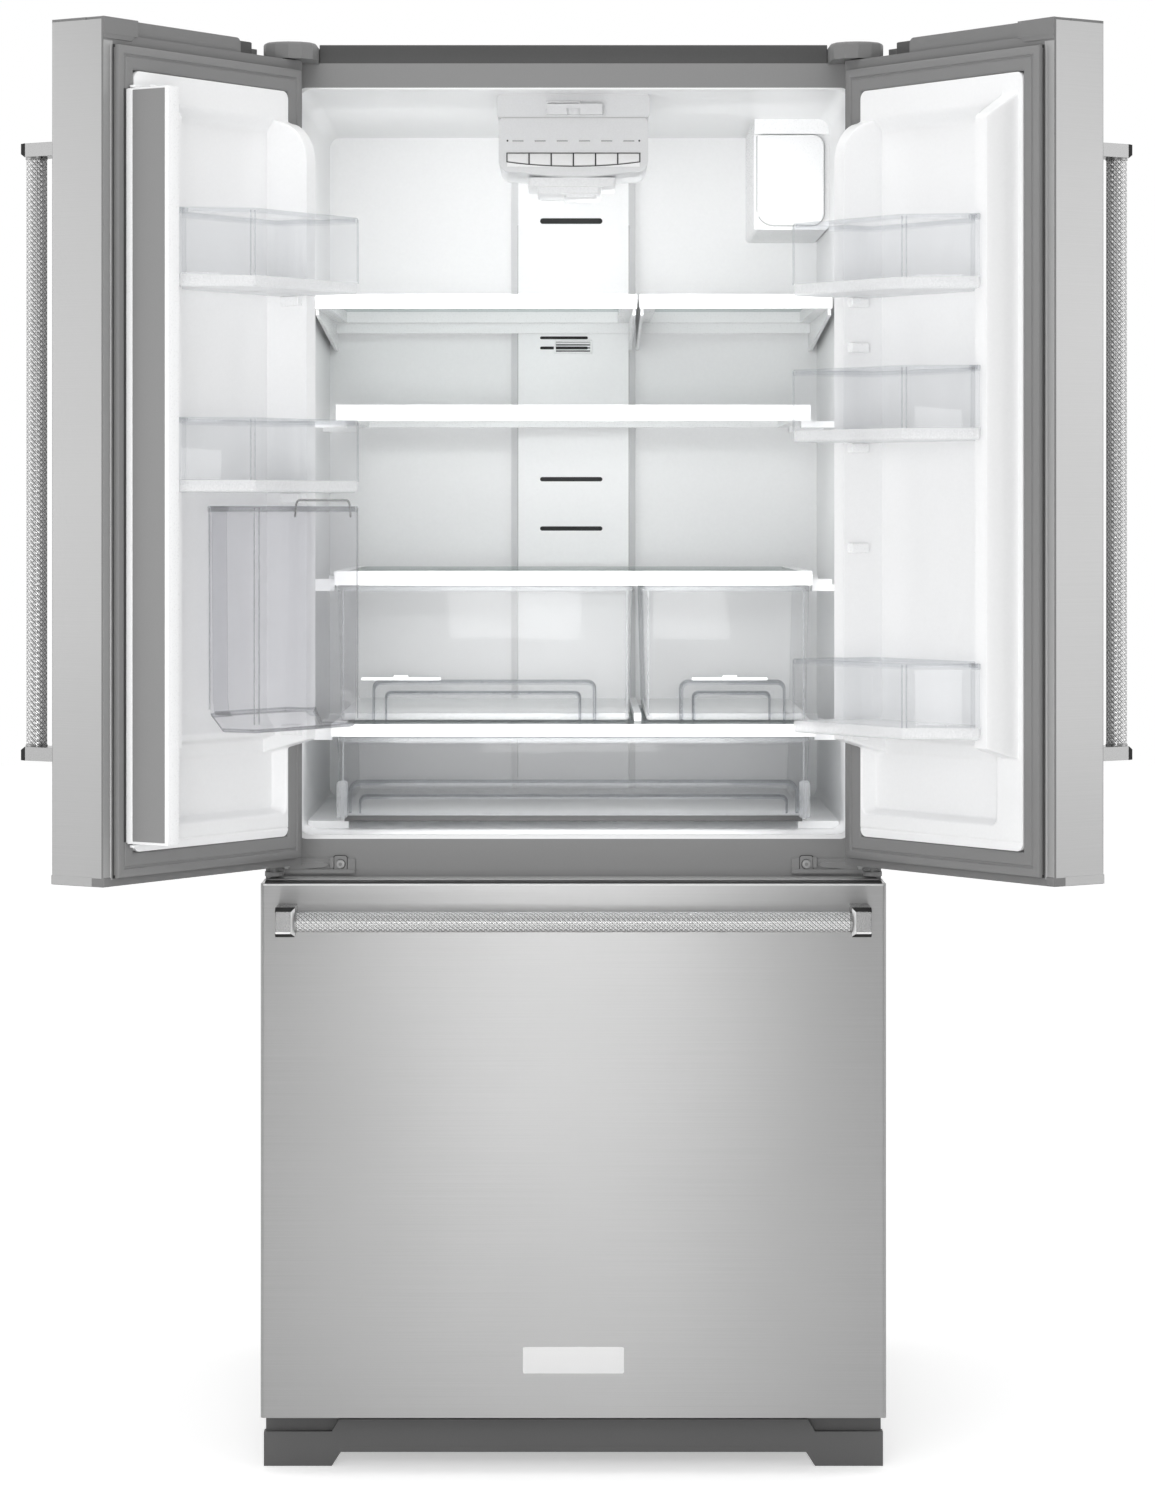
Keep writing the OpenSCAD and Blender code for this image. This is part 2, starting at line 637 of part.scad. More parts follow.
upper_d = [296, tower_d];
upper_x = [[-cavity_half + 7, 81], [85, cavity_half - 7]];
arm_drop = 37;
module shelf_frame(x, y, z, rim) difference() {
    block(x, y, z);
    block([x[0] + rim, x[1] - rim], [y[0] + rim, y[1] - rim], [z[0] - e, z[1] + e]);
    block([x[0] + rim - 6, x[1] - rim + 6], [y[0] + rim - 6, y[1] - rim + 6], [z[1] - glass_t, z[1] + e]);
}
module pane(x, y, z1, rim)
    block([x[0] + rim - 6, x[1] - rim + 6], [y[0] + rim - 6, y[1] - rim + 6], [z1 - glass_t, z1]);

upper_z = [fridge_z0 + upper_shelf_z, fridge_z0 + upper_shelf_z + shelf_t];
module upper_shelves() color("white") for (x = upper_x) {
    shelf_frame(x, upper_d, upper_z, 20);
    // cantilever arms, deeper towards the back
    for (ax = [x[0] + 1, x[1] - 5]) {
        arm_back = abs(ax) > tower_half + 10 ? cavity_back : upper_d[1];
        across([ax, ax + 4]) polygon([[upper_d[0] + 14, upper_z[0] + 2], [arm_back, upper_z[0] + 2],
            [arm_back, upper_z[0] - arm_drop], [arm_back - 30, upper_z[0] - arm_drop],
            [upper_d[0] + 14, upper_z[0] - 8]]);
    }
    block([x[0] + 1, x[1] - 1], [upper_d[1] - 8, upper_d[1]], [upper_z[0] - 14, upper_z[0] + 2]);
}

middle_z = [fridge_z0 + middle_shelf_z, fridge_z0 + middle_shelf_z + shelf_t + 2];
middle_d = [270, tower_d - 7];
module middle_shelf() color("white") shelf_frame([-cover_half, cover_half], middle_d, middle_z, 22);

ear = 28;
module cover_ears(z, depths) both_sides() for (d = depths)
    block([cover_half - 1, cover_half + ear], [d, d + 40], [z, z + 7]);

crisper_cover_y = [235, tower_d - 7];
crisper_top_z = [fridge_z0 + crisper_cover_z, fridge_z0 + crisper_cover_z + shelf_t];
module crisper_cover() color("white") {
    shelf_frame([-cover_half, cover_half], crisper_cover_y, crisper_top_z, 22);
    cover_ears(crisper_top_z[0], [crisper_cover_y[0] + 55, lug_back]);
}

pantry_cover_y = [165, tower_d - 7];
pantry_top_z = [fridge_z0 + pantry_cover_z, fridge_z0 + pantry_cover_z + pantry_cover_t];
module pantry_cover() color("white") {
    shelf_frame([-cover_half, cover_half], pantry_cover_y, pantry_top_z, 22);
    cover_ears(pantry_top_z[0], [pantry_cover_y[0] + 75, lug_back]);
    // guide between the two crispers
    block([crisper_x[0][1] + slide_gap, crisper_x[1][0] - slide_gap],
        [crisper_y[0] + 10, crisper_y[1] + 10],
        [pantry_top_z[1], pantry_top_z[1] + 10]);
}

module shelf_glass() color("lightcyan") {
    for (x = upper_x) pane(x, upper_d, upper_z[1], 20);
    pane([-cover_half, cover_half], middle_d, middle_z[1], 22);
    pane([-cover_half, cover_half], crisper_cover_y, crisper_top_z[1], 22);
    pane([-cover_half, cover_half], pantry_cover_y, pantry_top_z[1], 22);
}

// ---------- drawers inside the fridge ----------
pan_lift = 10;
crisper_x = [[-cover_half + 2, 76], [87, cover_half - 2]];
crisper_y = [250, tower_d - 32];
crisper_z = [pantry_top_z[1] + slide_gap, crisper_top_z[0] - slide_gap];
grip_x = [[-cover_half + 47, 29], [134, cover_half - 33]];
grip_out = 22;
module pull(x, y, z, t) difference() {
    block(x, y, z);
    block([x[0] + t, x[1] - t], [y[0] + t, y[1] - 0.01], [z[0] - e, z[1] - t]);
}
module crisper(i) color("aliceblue") {
    tray(crisper_x[i], crisper_y, crisper_z, pan_t, 12);
    pull(grip_x[i], [crisper_y[0] - grip_out, crisper_y[0] + 0.5],
        [crisper_z[0], crisper_z[0] + 52], pan_t);
}
module left_crisper() crisper(0);
module right_crisper() crisper(1);

pantry_half = cover_half - 6;
pantry_y = [175, tower_d - 32];
pantry_z = [cavity_z0 + pan_lift, pantry_top_z[0] - slide_gap];
module pantry_drawer() color("aliceblue") {
    tray([-pantry_half, pantry_half], pantry_y, pantry_z, pan_t, 12);
    pull([-pantry_half + 15, pantry_half - 15], [pantry_y[0] - grip_out, pantry_y[0] + 0.5],
        [pantry_z[0] + 13, pantry_z[0] + 53], pan_t);
}

// ---------- doors ----------
module door_plan(inset) {
    r = 4;
    translate([inset, r]) square([door_w - 2 * inset, skin_d - r]);
    translate([r, inset]) square([door_w - 2 * r, skin_d - inset]);
    for (u = [r, door_w - r]) translate([u, r]) circle(r - inset);
}

module door_notch(z0) block([-e, notch_u], [notch_v, gasket_d], [z0, door_z1 + e]);

module door_skin() color("lightgray") difference() {
    upright([door_z0 + cap_bottom, door_z1 - cap_top]) door_plan(0);
    upright([door_z0, door_z1 + e]) door_plan(sheet);
    block([sheet, door_w - sheet], [skin_d / 2, skin_d + e], [door_z0, door_z1 + e]);
    door_notch(door_z1 - frame_top);
}

// gray inner frame with the end caps; the caps carry the pin bores
cap_corner = 62;
module door_caps() color("gray") difference() {
    union() {
        upright([door_z0, door_z0 + cap_bottom]) door_plan(0);
        upright([door_z1 - cap_top, door_z1]) intersection() {
            door_plan(0);
            square([door_w, 52]);
        }
        upright([door_z1 - frame_top - 8, door_z1 - cap_top]) intersection() {
            door_plan(sheet + 0.1);
            square([door_w, 52]);
        }
        block([door_w - cap_corner, door_w - sheet - 0.1], [40, skin_d + 0.1],
            [door_z1 - frame_top - 1, door_z1]);
        block([door_w - cap_corner, door_w], [skin_d, inner_d + 1], [door_z1 - frame_top - 1, door_z1]);
        block([sheet, door_w - sheet], [40, skin_d + 1], [door_z1 - frame_top - 8, door_z1 - frame_top]);
        backward([skin_d, inner_d]) difference() {
            translate([0, door_z0]) square([door_w, door_z1 - frame_top - door_z0]);
            translate([gasket_in + gasket_w, door_z0 + 9.8 + gasket_w])
                square([door_w - 2 * gasket_in - 2 * gasket_w + 2.7,
                    door_z1 - 31.2 - door_z0 - 9.8 - 2 * gasket_w]);
        }
    }
    door_notch(door_z1 - frame_top);
    rod([pin_in, pin_d, door_z0 - e], "z", cap_bottom + 2 * e, pin_r + pin_gap);
    rod([pin_in, pin_d, door_z1 - frame_top - 8 - e], "z", 10, pin_r + pin_gap);
}

gasket_u = [gasket_in, door_w - gasket_in + 2.7];
gasket_z = [door_z0 + 9.8, door_z1 - 31.2];
module gasket_ring(x, z) {
    backward([inner_d, inner_d + 5]) ring([x[0] + 3, x[1] - 3], [z[0] + 3, z[1] - 3], gasket_w - 3, 4);
    backward([inner_d + 4.9, gasket_d]) ring(x, z, gasket_w, 4);
}
module door_gasket() color("gray") gasket_ring(gasket_u, gasket_z);

// cross-section of a ridge: a flat crest between slanted sides
module ridge_plan(u) polygon([[u[0] - 3.5, panel_d - 5], [u[0] - 3.5, gasket_d], [u[0], ridge_top],
    [u[1], ridge_top], [u[1] + 4, gasket_d], [u[1] + 4, panel_d - 5]]);

module ridge(u, rounded_top) intersection() {
    upright([ridge_z0 - 60, ridge_z1 + 60]) ridge_plan(u);
    across([u[0] - 10, u[1] + 10]) {
        polygon([[panel_d - 6, ridge_z0 - 40], [gasket_d, ridge_z0 - ridge_slope], [ridge_top, ridge_z0],
            [ridge_top, ridge_z1 - (rounded_top ? ridge_round : 0)],
            [ridge_top - ridge_round, ridge_z1 + (rounded_top ? 0 : 28)],
            [panel_d - 6, ridge_z1 + 30]]);
        if (rounded_top) translate([ridge_top - ridge_round, ridge_z1 - ridge_round])
            circle(ridge_round, $fn = 96);
    }
}

module door_liner(lug_heights, carries_flipper) color("white") {
    rim_u = [gasket_in + gasket_w + 0.3, gasket_u[1] - gasket_w - 0.3];
    rim_z = [gasket_z[0] + gasket_w + 0.3, gasket_z[1] - gasket_w - 0.3];
    difference() {
        union() {
            // insulation foamed onto the back of the liner
            upright([door_z0 + cap_bottom, door_z1 - frame_top - 8]) door_plan(sheet + 0.1);
            backward([skin_d - 1, gasket_d]) rounded(rim_u, rim_z, 8);
        }
        backward([panel_d, gasket_d + e]) rounded([ridge_hinge_u[0] + 6, ridge_free_u[1] - 6],
            [ridge_z0 + 10, ridge_z1 + 12], 12);
        backward([pocket_d, gasket_d + e]) rounded([ridge_hinge_u[0] + 12, ridge_free_u[1] - 10],
            [door_z0 + 66, ridge_z0 - 6], 12);
    }
    ridge(ridge_hinge_u, true);
    ridge(ridge_free_u, false);
    // lugs that the bins hook on
    for (z = lug_heights, u = [ridge_hinge_u[1] - 1, ridge_free_u[0] - 9])
        block([u, u + 10], [panel_d + 24, ridge_top - 8], [z, z + 12]);
    if (carries_flipper) for (end = [[flipper_z0 - 4.6, 4], [flipper_z1 + 0.6, -10]]) {
        // bracket and pin at each end of the flipper mullion
        block([rim_u[1] - 12, flipper_pin[0] + 5], [gasket_d + 0.2, flipper_pin[1] + 5],
            [end[0], end[0] + 4]);
        block([rim_u[1] - 12, rim_u[1] - 1], [gasket_d - 2, gasket_d + 1], [end[0], end[0] + 4]);
        rod([flipper_pin[0], flipper_pin[1], end[0] + min(end[1], 3)], "z", 11, flipper_pin_r);
    }
}

// a bar between two posts, drawn along Z with the door face behind it
module bar_handle(length, post_len) {
    chamfer = 5;
    for (flip = [0, 1]) translate([0, 0, flip * length]) mirror([0, 0, flip]) {
        difference() {
            upright([0, post_len]) polygon([[-post_w / 2, 0], [post_w / 2, 0],
                [post_w / 2, -bar_out - bar_dia / 2 + 3], [post_w / 2 - 3, -bar_out - bar_dia / 2],
                [-post_w / 2 + 3, -bar_out - bar_dia / 2], [-post_w / 2, -bar_out - bar_dia / 2 + 3]]);
            across([-post_w, post_w]) polygon([[-bar_out - bar_dia / 2 - 1, post_len - chamfer - 1],
                [-bar_out - bar_dia / 2 - 1, post_len + 1],
                [-bar_out - bar_dia / 2 + chamfer + 1, post_len + 1]]);
        }
    }
    rod([0, -bar_out, post_len - 1], "z", length - 2 * post_len + 2, bar_dia / 2);
}
door_post = post_len - 7;                   // the door handles' posts are shorter
module door_handle() color("lightgray")
    translate([door_w - handle_in, 0, door_z0 + handle_up]) bar_handle(handle_len, door_post);

// open-topped bin hooked between the ridges of the door liner
module bin_plan(t, front) {
    u = bin_u;
    chamfer = min(bin_chamfer, front - bin_shoulder - 10);
    offset_c = t * 0.414;
    polygon([[bin_inner_u[0] + t, bin_back + t], [bin_inner_u[0] + t, bin_shoulder + t],
        [u[0] + t, bin_shoulder + t], [u[0] + t, front - t], [u[1] - chamfer - offset_c, front - t],
        [u[1] - t, front - chamfer - offset_c], [u[1] - t, bin_shoulder + t],
        [bin_inner_u[1] - t, bin_shoulder + t], [bin_inner_u[1] - t, bin_back + t]]);
}
module bin(z0, h, t) color("aliceblue") difference() {
    upright([z0, z0 + h]) bin_plan(0, bin_front);
    upright([z0 + t, z0 + h + e]) bin_plan(t, bin_front);
}

left_bin_z = [door_z0 + 688, door_z0 + 452];
right_bin_z = [door_z0 + 686, door_z0 + 512, door_z0 + 167];
produce_z = [door_z0 + 174, door_z0 + 436];
produce_u1 = door_w - 124;
produce_inner_u1 = produce_u1 - 18;
module produce_plan(t) polygon([[bin_inner_u[0] + t, bin_back + t], [bin_inner_u[0] + t, bin_shoulder + t],
    [bin_u[0] + t, bin_shoulder + t], [bin_u[0] + t, bin_front - t], [produce_u1 - t, bin_front - t],
    [produce_u1 - t, bin_shoulder - 5 + t], [produce_inner_u1 - t, bin_shoulder - 5 + t],
    [produce_inner_u1 - t, bin_back + t]]);
module produce_bin_body() color("aliceblue") {
    difference() {
        upright(produce_z) produce_plan(0);
        upright([produce_z[0] + bin_t, produce_z[1] + e]) produce_plan(bin_t);
    }
    // wire loop handle over the top edge
    backward([bin_front - 2.4, bin_front - 0.4]) difference() {
        rounded([70, 175], [produce_z[1] - 6, produce_z[1] + 8], 3);
        rounded([73, 172], [produce_z[1] - 7, produce_z[1] + 5], 2);
    }
}

module left_door_skin() hung_left() door_skin();
module left_door_caps() hung_left() door_caps();
module left_door_liner() hung_left() door_liner(concat([for (z = left_bin_z) z - 12],
    [produce_z[0] - 12]), true);
module left_door_gasket() hung_left() door_gasket();
module left_handle() hung_left() door_handle();
module left_upper_bin() hung_left() bin(left_bin_z[0], bin_h + 5, bin_t);
module left_middle_bin() hung_left() bin(left_bin_z[1], bin_h, bin_t);
module produce_bin() hung_left() produce_bin_body();

module right_door_skin() hung_right() door_skin();
module right_door_caps() hung_right() door_caps();
module right_door_liner() hung_right() door_liner(concat([for (z = right_bin_z) z - 12],
    [door_z0 + 380, door_z0 + 620]), false);
module right_door_gasket() hung_right() door_gasket();
module right_handle() hung_right() door_handle();
module right_upper_bin() hung_right() bin(right_bin_z[0], bin_h, bin_t);
module right_middle_bin() hung_right() bin(right_bin_z[1], bin_h, bin_t);
module gallon_bin() hung_right() bin(right_bin_z[2], bin_h + 2, bin_t);

module flipper_mullion() hung_left() {
    v = [flipper_v0, flipper_v0 + flipper_w];
    u = [flipper_u1 - flipper_t, flipper_u1];
    color("white") difference() {
        block(u, v, [flipper_z0, flipper_z1]);
        block([u[1] - flipper_face_t, u[1] + e], [v[0] + flipper_face[0], v[0] + flipper_face[1]],
            [flipper_z0 + 4, flipper_z1 - 4]);
        for (z = [flipper_z0 - 1, flipper_z1 - 12]) rod([flipper_pin[0], flipper_pin[1], z], "z", 13,
            flipper_pin_r + pin_gap);
    }
    color("gray") block([u[1] - flipper_face_t, u[1]], [v[0] + flipper_face[0], v[0] + flipper_face[1]],
        [flipper_z0 + 4, flipper_z1 - 4]);
    // pin that the guide in the cabinet steers
    color("gray") rod([flipper_u1 - 11, v[0] + 29, flipper_z1], "z", 3, 4);
}

// ---------- freezer drawer ----------
module drawer_plan(inset) {
    r = 4;
    translate([-half_w + inset, r]) square([cabinet_w - 2 * inset, skin_d - r]);
    translate([-half_w + r, inset]) square([cabinet_w - 2 * r, skin_d - inset]);
    for (x = [-half_w + r, half_w - r]) translate([x, r]) circle(r - inset);
}
module drawer_skin() color("lightgray") difference() {
    upright([drawer_z0, drawer_z1]) drawer_plan(0);
    upright([drawer_z0 + sheet, drawer_z1 - sheet]) drawer_plan(sheet);
    block([-half_w + sheet, half_w - sheet], [skin_d / 2, skin_d + e],
        [drawer_z0 + sheet, drawer_z1 - sheet]);
}

plug_gap = 6;
seal_x = [-half_w + gasket_in, half_w - gasket_in];
seal_z = [drawer_z0 + 12, drawer_z1 - 10];
module drawer_liner() {
    color("gray") backward([skin_d, inner_d])
        rounded([-half_w + 1, half_w - 1], [drawer_z0 + 1, drawer_z1 - 1], 3);
    color("white") {
        upright([drawer_z0 + sheet + 0.1, drawer_z1 - sheet - 0.1]) drawer_plan(sheet + 0.1);
        backward([inner_d, gasket_d + 4]) rounded([-open_half + plug_gap, open_half - plug_gap],
            [freezer_z0 + plug_gap, freezer_z1 - plug_gap], 10);
    }
}
module drawer_gasket() color("gray") gasket_ring(seal_x, seal_z);

module drawer_handle() color("lightgray")
    translate([-half_w + drawer_handle_in, 0, drawer_z1 - drawer_handle_down])
        rotate([0, 90, 0]) bar_handle(cabinet_w - 2 * drawer_handle_in, post_len);

badge = [122, 32];
module badge_plate() color("gainsboro") backward([-2, 0])
    rounded([-badge[0] / 2, badge[0] / 2],
        [drawer_z0 + 70 - badge[1] / 2, drawer_z0 + 70 + badge[1] / 2], 2);

rail_z = [freezer_z0 + 165, freezer_z0 + 205];
track_x = [cavity_half - 14, cavity_half - 2];
basket_half = cavity_half - 26;
basket_y = [gasket_d + 14, machine_d - machine_foam - 15];
basket_z = [freezer_z0 + 14, freezer_z0 + 300];
module drawer_rails() color("silver") both_sides() {
    block([track_x[0], track_x[0] + 8], [gasket_d + 4, basket_y[1]], rail_z);
    block([basket_half, track_x[0] + 1], [basket_y[0] + 20, basket_y[1] - 20],
        [rail_z[0] + 4, rail_z[0] + 8]);
}
module lower_basket() color("white") tray([-basket_half, basket_half], basket_y, basket_z, 3, 14);

upper_basket_y = [125, basket_y[1] - 15];
upper_basket_z = [freezer_z0 + 330, freezer_z0 + 470];
module upper_basket() color("white") {
    tray([-basket_half, basket_half], upper_basket_y, upper_basket_z, 3, 14);
    both_sides() block([basket_half - 1, cavity_half - 3], upper_basket_y,
        [upper_basket_z[1] - 8, upper_basket_z[1] - 4]);
}

// ---------- the part ----------
placed() cabinet_shell();
placed() front_frame();
placed() cabinet_foam();
placed() fridge_liner();
placed() freezer_liner();
placed() rear_covers();
placed() compressor();
placed() condenser();
placed() condenser_fan();
placed() evaporator();
placed() base_frame();
placed() rear_rollers();
placed() leveling_legs();
placed() kick_plate();
placed() hinge_covers();
placed() door_hinges();
placed() air_tower();
placed() control_housing();
placed() control_button(1);  // control_button_1
placed() control_button(2);  // control_button_2
placed() control_button(3);  // control_button_3
placed() control_button(4);  // control_button_4
placed() control_button(5);  // control_button_5
placed() control_button(6);  // control_button_6
placed() lamp_lens();
placed() filter_housing();
placed() water_filter_cover();
placed() upper_shelves();
placed() middle_shelf();
placed() crisper_cover();
placed() pantry_cover();
placed() shelf_glass();
placed() left_crisper();
placed() right_crisper();
placed() pantry_drawer();
placed() left_door_skin();
placed() left_door_caps();
placed() left_door_liner();
placed() left_door_gasket();
placed() left_handle();
placed() flipper_mullion();
placed() left_upper_bin();
placed() left_middle_bin();
placed() produce_bin();
placed() right_door_skin();
placed() right_door_caps();
placed() right_door_liner();
placed() right_door_gasket();
placed() right_handle();
placed() right_upper_bin();
placed() right_middle_bin();
placed() gallon_bin();
placed() drawer_skin();
placed() drawer_liner();
placed() drawer_gasket();
placed() drawer_handle();
placed() badge_plate();
placed() drawer_rails();
placed() lower_basket();
placed() upper_basket();
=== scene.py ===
import json
import math

import bmesh
import bpy
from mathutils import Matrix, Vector


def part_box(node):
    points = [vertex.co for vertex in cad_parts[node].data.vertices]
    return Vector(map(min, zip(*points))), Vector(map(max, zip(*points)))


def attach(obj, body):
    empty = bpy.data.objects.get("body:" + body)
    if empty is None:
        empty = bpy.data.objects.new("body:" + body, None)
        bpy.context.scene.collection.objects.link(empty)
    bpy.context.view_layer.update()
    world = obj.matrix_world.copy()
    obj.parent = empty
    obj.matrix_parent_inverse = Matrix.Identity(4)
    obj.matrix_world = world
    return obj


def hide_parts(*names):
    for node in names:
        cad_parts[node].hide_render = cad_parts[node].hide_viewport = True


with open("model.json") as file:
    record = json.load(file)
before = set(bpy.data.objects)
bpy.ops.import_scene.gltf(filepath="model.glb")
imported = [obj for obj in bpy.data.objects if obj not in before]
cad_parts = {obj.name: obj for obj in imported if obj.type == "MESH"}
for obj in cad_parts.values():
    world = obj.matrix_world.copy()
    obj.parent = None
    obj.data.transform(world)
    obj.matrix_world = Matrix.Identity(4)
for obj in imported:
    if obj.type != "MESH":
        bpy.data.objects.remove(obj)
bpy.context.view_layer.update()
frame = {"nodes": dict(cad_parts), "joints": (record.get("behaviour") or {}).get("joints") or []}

nodes = frame["nodes"]
joints = {j["name"]: j for j in frame["joints"]}

# ---------- places ----------
# Pieces are drawn in millimetres: x to the right, depth back from the face of the closed doors, z up.
# On a door, x runs from its hinge edge to its free edge, and depth from its outer face inward.
MM = 0.001
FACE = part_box("drawer_skin")[0].y
PIN_IN, PIN_D = 13, 45  # a door's hinge pin, from its hinge edge and from its face


def cabinet_place(p):
    return Vector((p[0] * MM, FACE + p[1] * MM, p[2] * MM))


def door_place(side):
    j = joints[side + "_door_hinge"]
    a = math.radians(-j["range_deg"][0])
    px, py = j["pos_m"][0], j["pos_m"][1]
    sign = 1 if side == "left" else -1

    def place(p):
        u, v = (p[0] - PIN_IN) * MM, (p[1] - PIN_D) * MM
        return Vector((px + sign * (u * math.cos(a) + v * math.sin(a)),
                       py - u * math.sin(a) + v * math.cos(a), p[2] * MM))
    return place


# where each body's pieces are drawn, and whether that place is mirrored
PLACE = {"door_left": (door_place("left"), False), "flipper": (door_place("left"), False),
         "door_right": (door_place("right"), True)}


# ---------- outlines ----------
def rounded_rect(x0, x1, y0, y1, r, n=6):
    pts = []
    for cx, cy, a0 in ((x1 - r, y1 - r, 0), (x0 + r, y1 - r, 90),
                       (x0 + r, y0 + r, 180), (x1 - r, y0 + r, 270)):
        for i in range(n + 1):
            a = math.radians(a0 + 90 * i / n)
            pts.append((cx + r * math.cos(a), cy + r * math.sin(a)))
    return pts


def rounded_poly(points, radii, n=5):
    """The outline of a polygon with its corners rounded."""
    out = []
    m = len(points)
    for i in range(m):
        p, a, b = Vector(points[i]), Vector(points[i - 1]), Vector(points[(i + 1) % m])
        r = radii[i] if isinstance(radii, (list, tuple)) else radii
        da, db = (a - p).normalized(), (b - p).normalized()
        half = da.angle(db) / 2
        t = min(r / math.tan(half), (a - p).length * 0.49, (b - p).length * 0.49)
        r = t * math.tan(half)
        c = p + (da + db).normalized() * (r / math.sin(half))
        s, e = p + da * t - c, p + db * t - c
        turn = math.atan2(s.x * e.y - s.y * e.x, s.dot(e))
        a0 = math.atan2(s.y, s.x)
        for k in range(n + 1):
            ang = a0 + turn * k / n
            out.append((c.x + r * math.cos(ang), c.y + r * math.sin(ang)))
    return out


def inset_loop(loop, d):
    """An outline moved inward by d."""
    m = len(loop)
    area = sum(loop[i - 1][0] * loop[i][1] - loop[i][0] * loop[i - 1][1] for i in range(m))
    sign = 1 if area > 0 else -1
    out = []
    for i in range(m):
        p0, p1, p2 = Vector(loop[i - 1]), Vector(loop[i]), Vector(loop[(i + 1) % m])
        n1 = Vector((-(p1 - p0).y, (p1 - p0).x))
        n2 = Vector((-(p2 - p1).y, (p2 - p1).x))
        n1 = n1.normalized() if n1.length > 1e-9 else n2.normalized()
        n2 = n2.normalized() if n2.length > 1e-9 else n1
        q = p1 + (n1 + n2) * (sign * d / max(0.4, 1 + n1.dot(n2)))
        out.append((q.x, q.y))
    return out


# ---------- shapes: each is a pair of points and faces ----------
def loft(loops, close=False, caps=True):
    """Joins closed loops of points into a skin."""
    n, m = len(loops[0]), len(loops)
    verts = [p for loop in loops for p in loop]
    faces = []
    for i in range(m if close else m - 1):
        a, b = i * n, ((i + 1) % m) * n
        faces += [(a + k, a + (k + 1) % n, b + (k + 1) % n, b + k) for k in range(n)]
    if caps and not close:
        faces.append(tuple(reversed(range(n))))
        faces.append(tuple((m - 1) * n + k for k in range(n)))
    return verts, faces


def merge(*parts):
    verts, faces = [], []
    for v, f in parts:
        o = len(verts)
        verts += v
        faces += [tuple(i + o for i in t) for t in f]
    return verts, faces


def box(x, y, z):
    v = [(a, b, c) for c in z for b in y for a in x]
    f = [(0, 2, 3, 1), (4, 5, 7, 6), (0, 1, 5, 4), (2, 6, 7, 3), (0, 4, 6, 2), (1, 3, 7, 5)]
    return v, f


def prism(outline, axis, a, b):
    """An outline carried along an axis: z takes (x, depth), y takes (x, z), x takes (depth, z)."""
    def at(p, t):
        return {"z": (p[0], p[1], t), "y": (p[0], t, p[1]), "x": (t, p[0], p[1])}[axis]
    return loft([[at(p, t) for p in outline] for t in (a, b)])


def rounded_prism(corners, radii, n, axis, a, b):
    """A prism whose outline has rounded corners."""
    return prism(rounded_poly(corners, radii, n), axis, a, b)


def steps(plan, stations, caps=True):
    """A plan carried up through stations of (inset, z)."""
    return loft([[(x, y, z) for x, y in inset_loop(plan, d)] for d, z in stations], caps=caps)


def ring_sweep(profile, x0, x1, z0, z1):
    """A profile of (inset, depth) points swept round a rectangle with mitred corners."""
    corners = ((x0, z0, 1, 1), (x1, z0, -1, 1), (x1, z1, -1, -1), (x0, z1, 1, -1))
    return loft([[(cx + sx * w, d, cz + sz * w) for w, d in profile] for cx, cz, sx, sz in corners],
                close=True)


def revolve(profile, centre, axis, n=48):
    """A profile of (radius, height) points turned about an axis."""
    cx, cy, cz = centre
    loops = []
    for r, h in profile:
        loop = []
        for i in range(n):
            c, s = r * math.cos(2 * math.pi * i / n), r * math.sin(2 * math.pi * i / n)
            loop.append({"z": (cx + c, cy + s, cz + h), "y": (cx + c, cy + h, cz + s),
                         "x": (cx + h, cy + c, cz + s)}[axis])
        loops.append(loop)
    return loft(loops)


def smooth_step(t):
    t = max(0, min(1, t))
    return t * t * (3 - 2 * t)


def soft_max(a, b, k):
    h = max(k - abs(a - b), 0) / k
    return max(a, b) + h * h * k * 0.25


def soft_min(a, b, k):
    return -soft_max(-a, -b, k)


# ---------- materials ----------
def rgba(shade):
    """A grey from one number, or the colour itself."""
    return (shade, shade, shade, 1) if isinstance(shade, (int, float)) else (*shade, 1)


def node(nt, kind, inputs=None, **settings):
    """Adds a node. An input takes a value, or another node's output to link to."""
    n = nt.nodes.new("ShaderNode" + kind)
    for key, value in settings.items():
        setattr(n, key, value)
    for key, value in (inputs or {}).items():
        if isinstance(value, bpy.types.NodeSocket):
            nt.links.new(value, n.inputs[key])
        else:
            n.inputs[key].default_value = value
    return n


def new_material(name):
    m = bpy.data.materials.new(name)
    m.use_nodes = True
    m.node_tree.nodes.clear()
    return m, m.node_tree


def output(nt, shader):
    node(nt, "OutputMaterial", {"Surface": shader.outputs[0]})


def coords(nt, scale=(1, 1, 1)):
    place = node(nt, "TexCoord").outputs["Object"]
    return node(nt, "Mapping", {"Vector": place, "Scale": scale}).outputs["Vector"]


def noise(nt, scale, vec, detail):
    return node(nt, "TexNoise", {"Vector": vec, "Scale": scale, "Detail": detail,
                                 "Roughness": 0.55}).outputs["Fac"]


def ramp(nt, fac, *stops):
    r = node(nt, "ValToRGB", {"Fac": fac})
    marks = r.color_ramp.elements
    while len(marks) < len(stops):
        marks.new(0.5)
    for mark, (at, shade) in zip(marks, stops):
        mark.position = at
        mark.color = rgba(shade)
    return r.outputs["Color"]


def bump(nt, height, strength, distance):
    return node(nt, "Bump", {"Height": height, "Strength": strength,
                             "Distance": distance}).outputs["Normal"]


def maths(nt, operation, *values):
    return node(nt, "Math", dict(enumerate(values)), operation=operation).outputs[0]


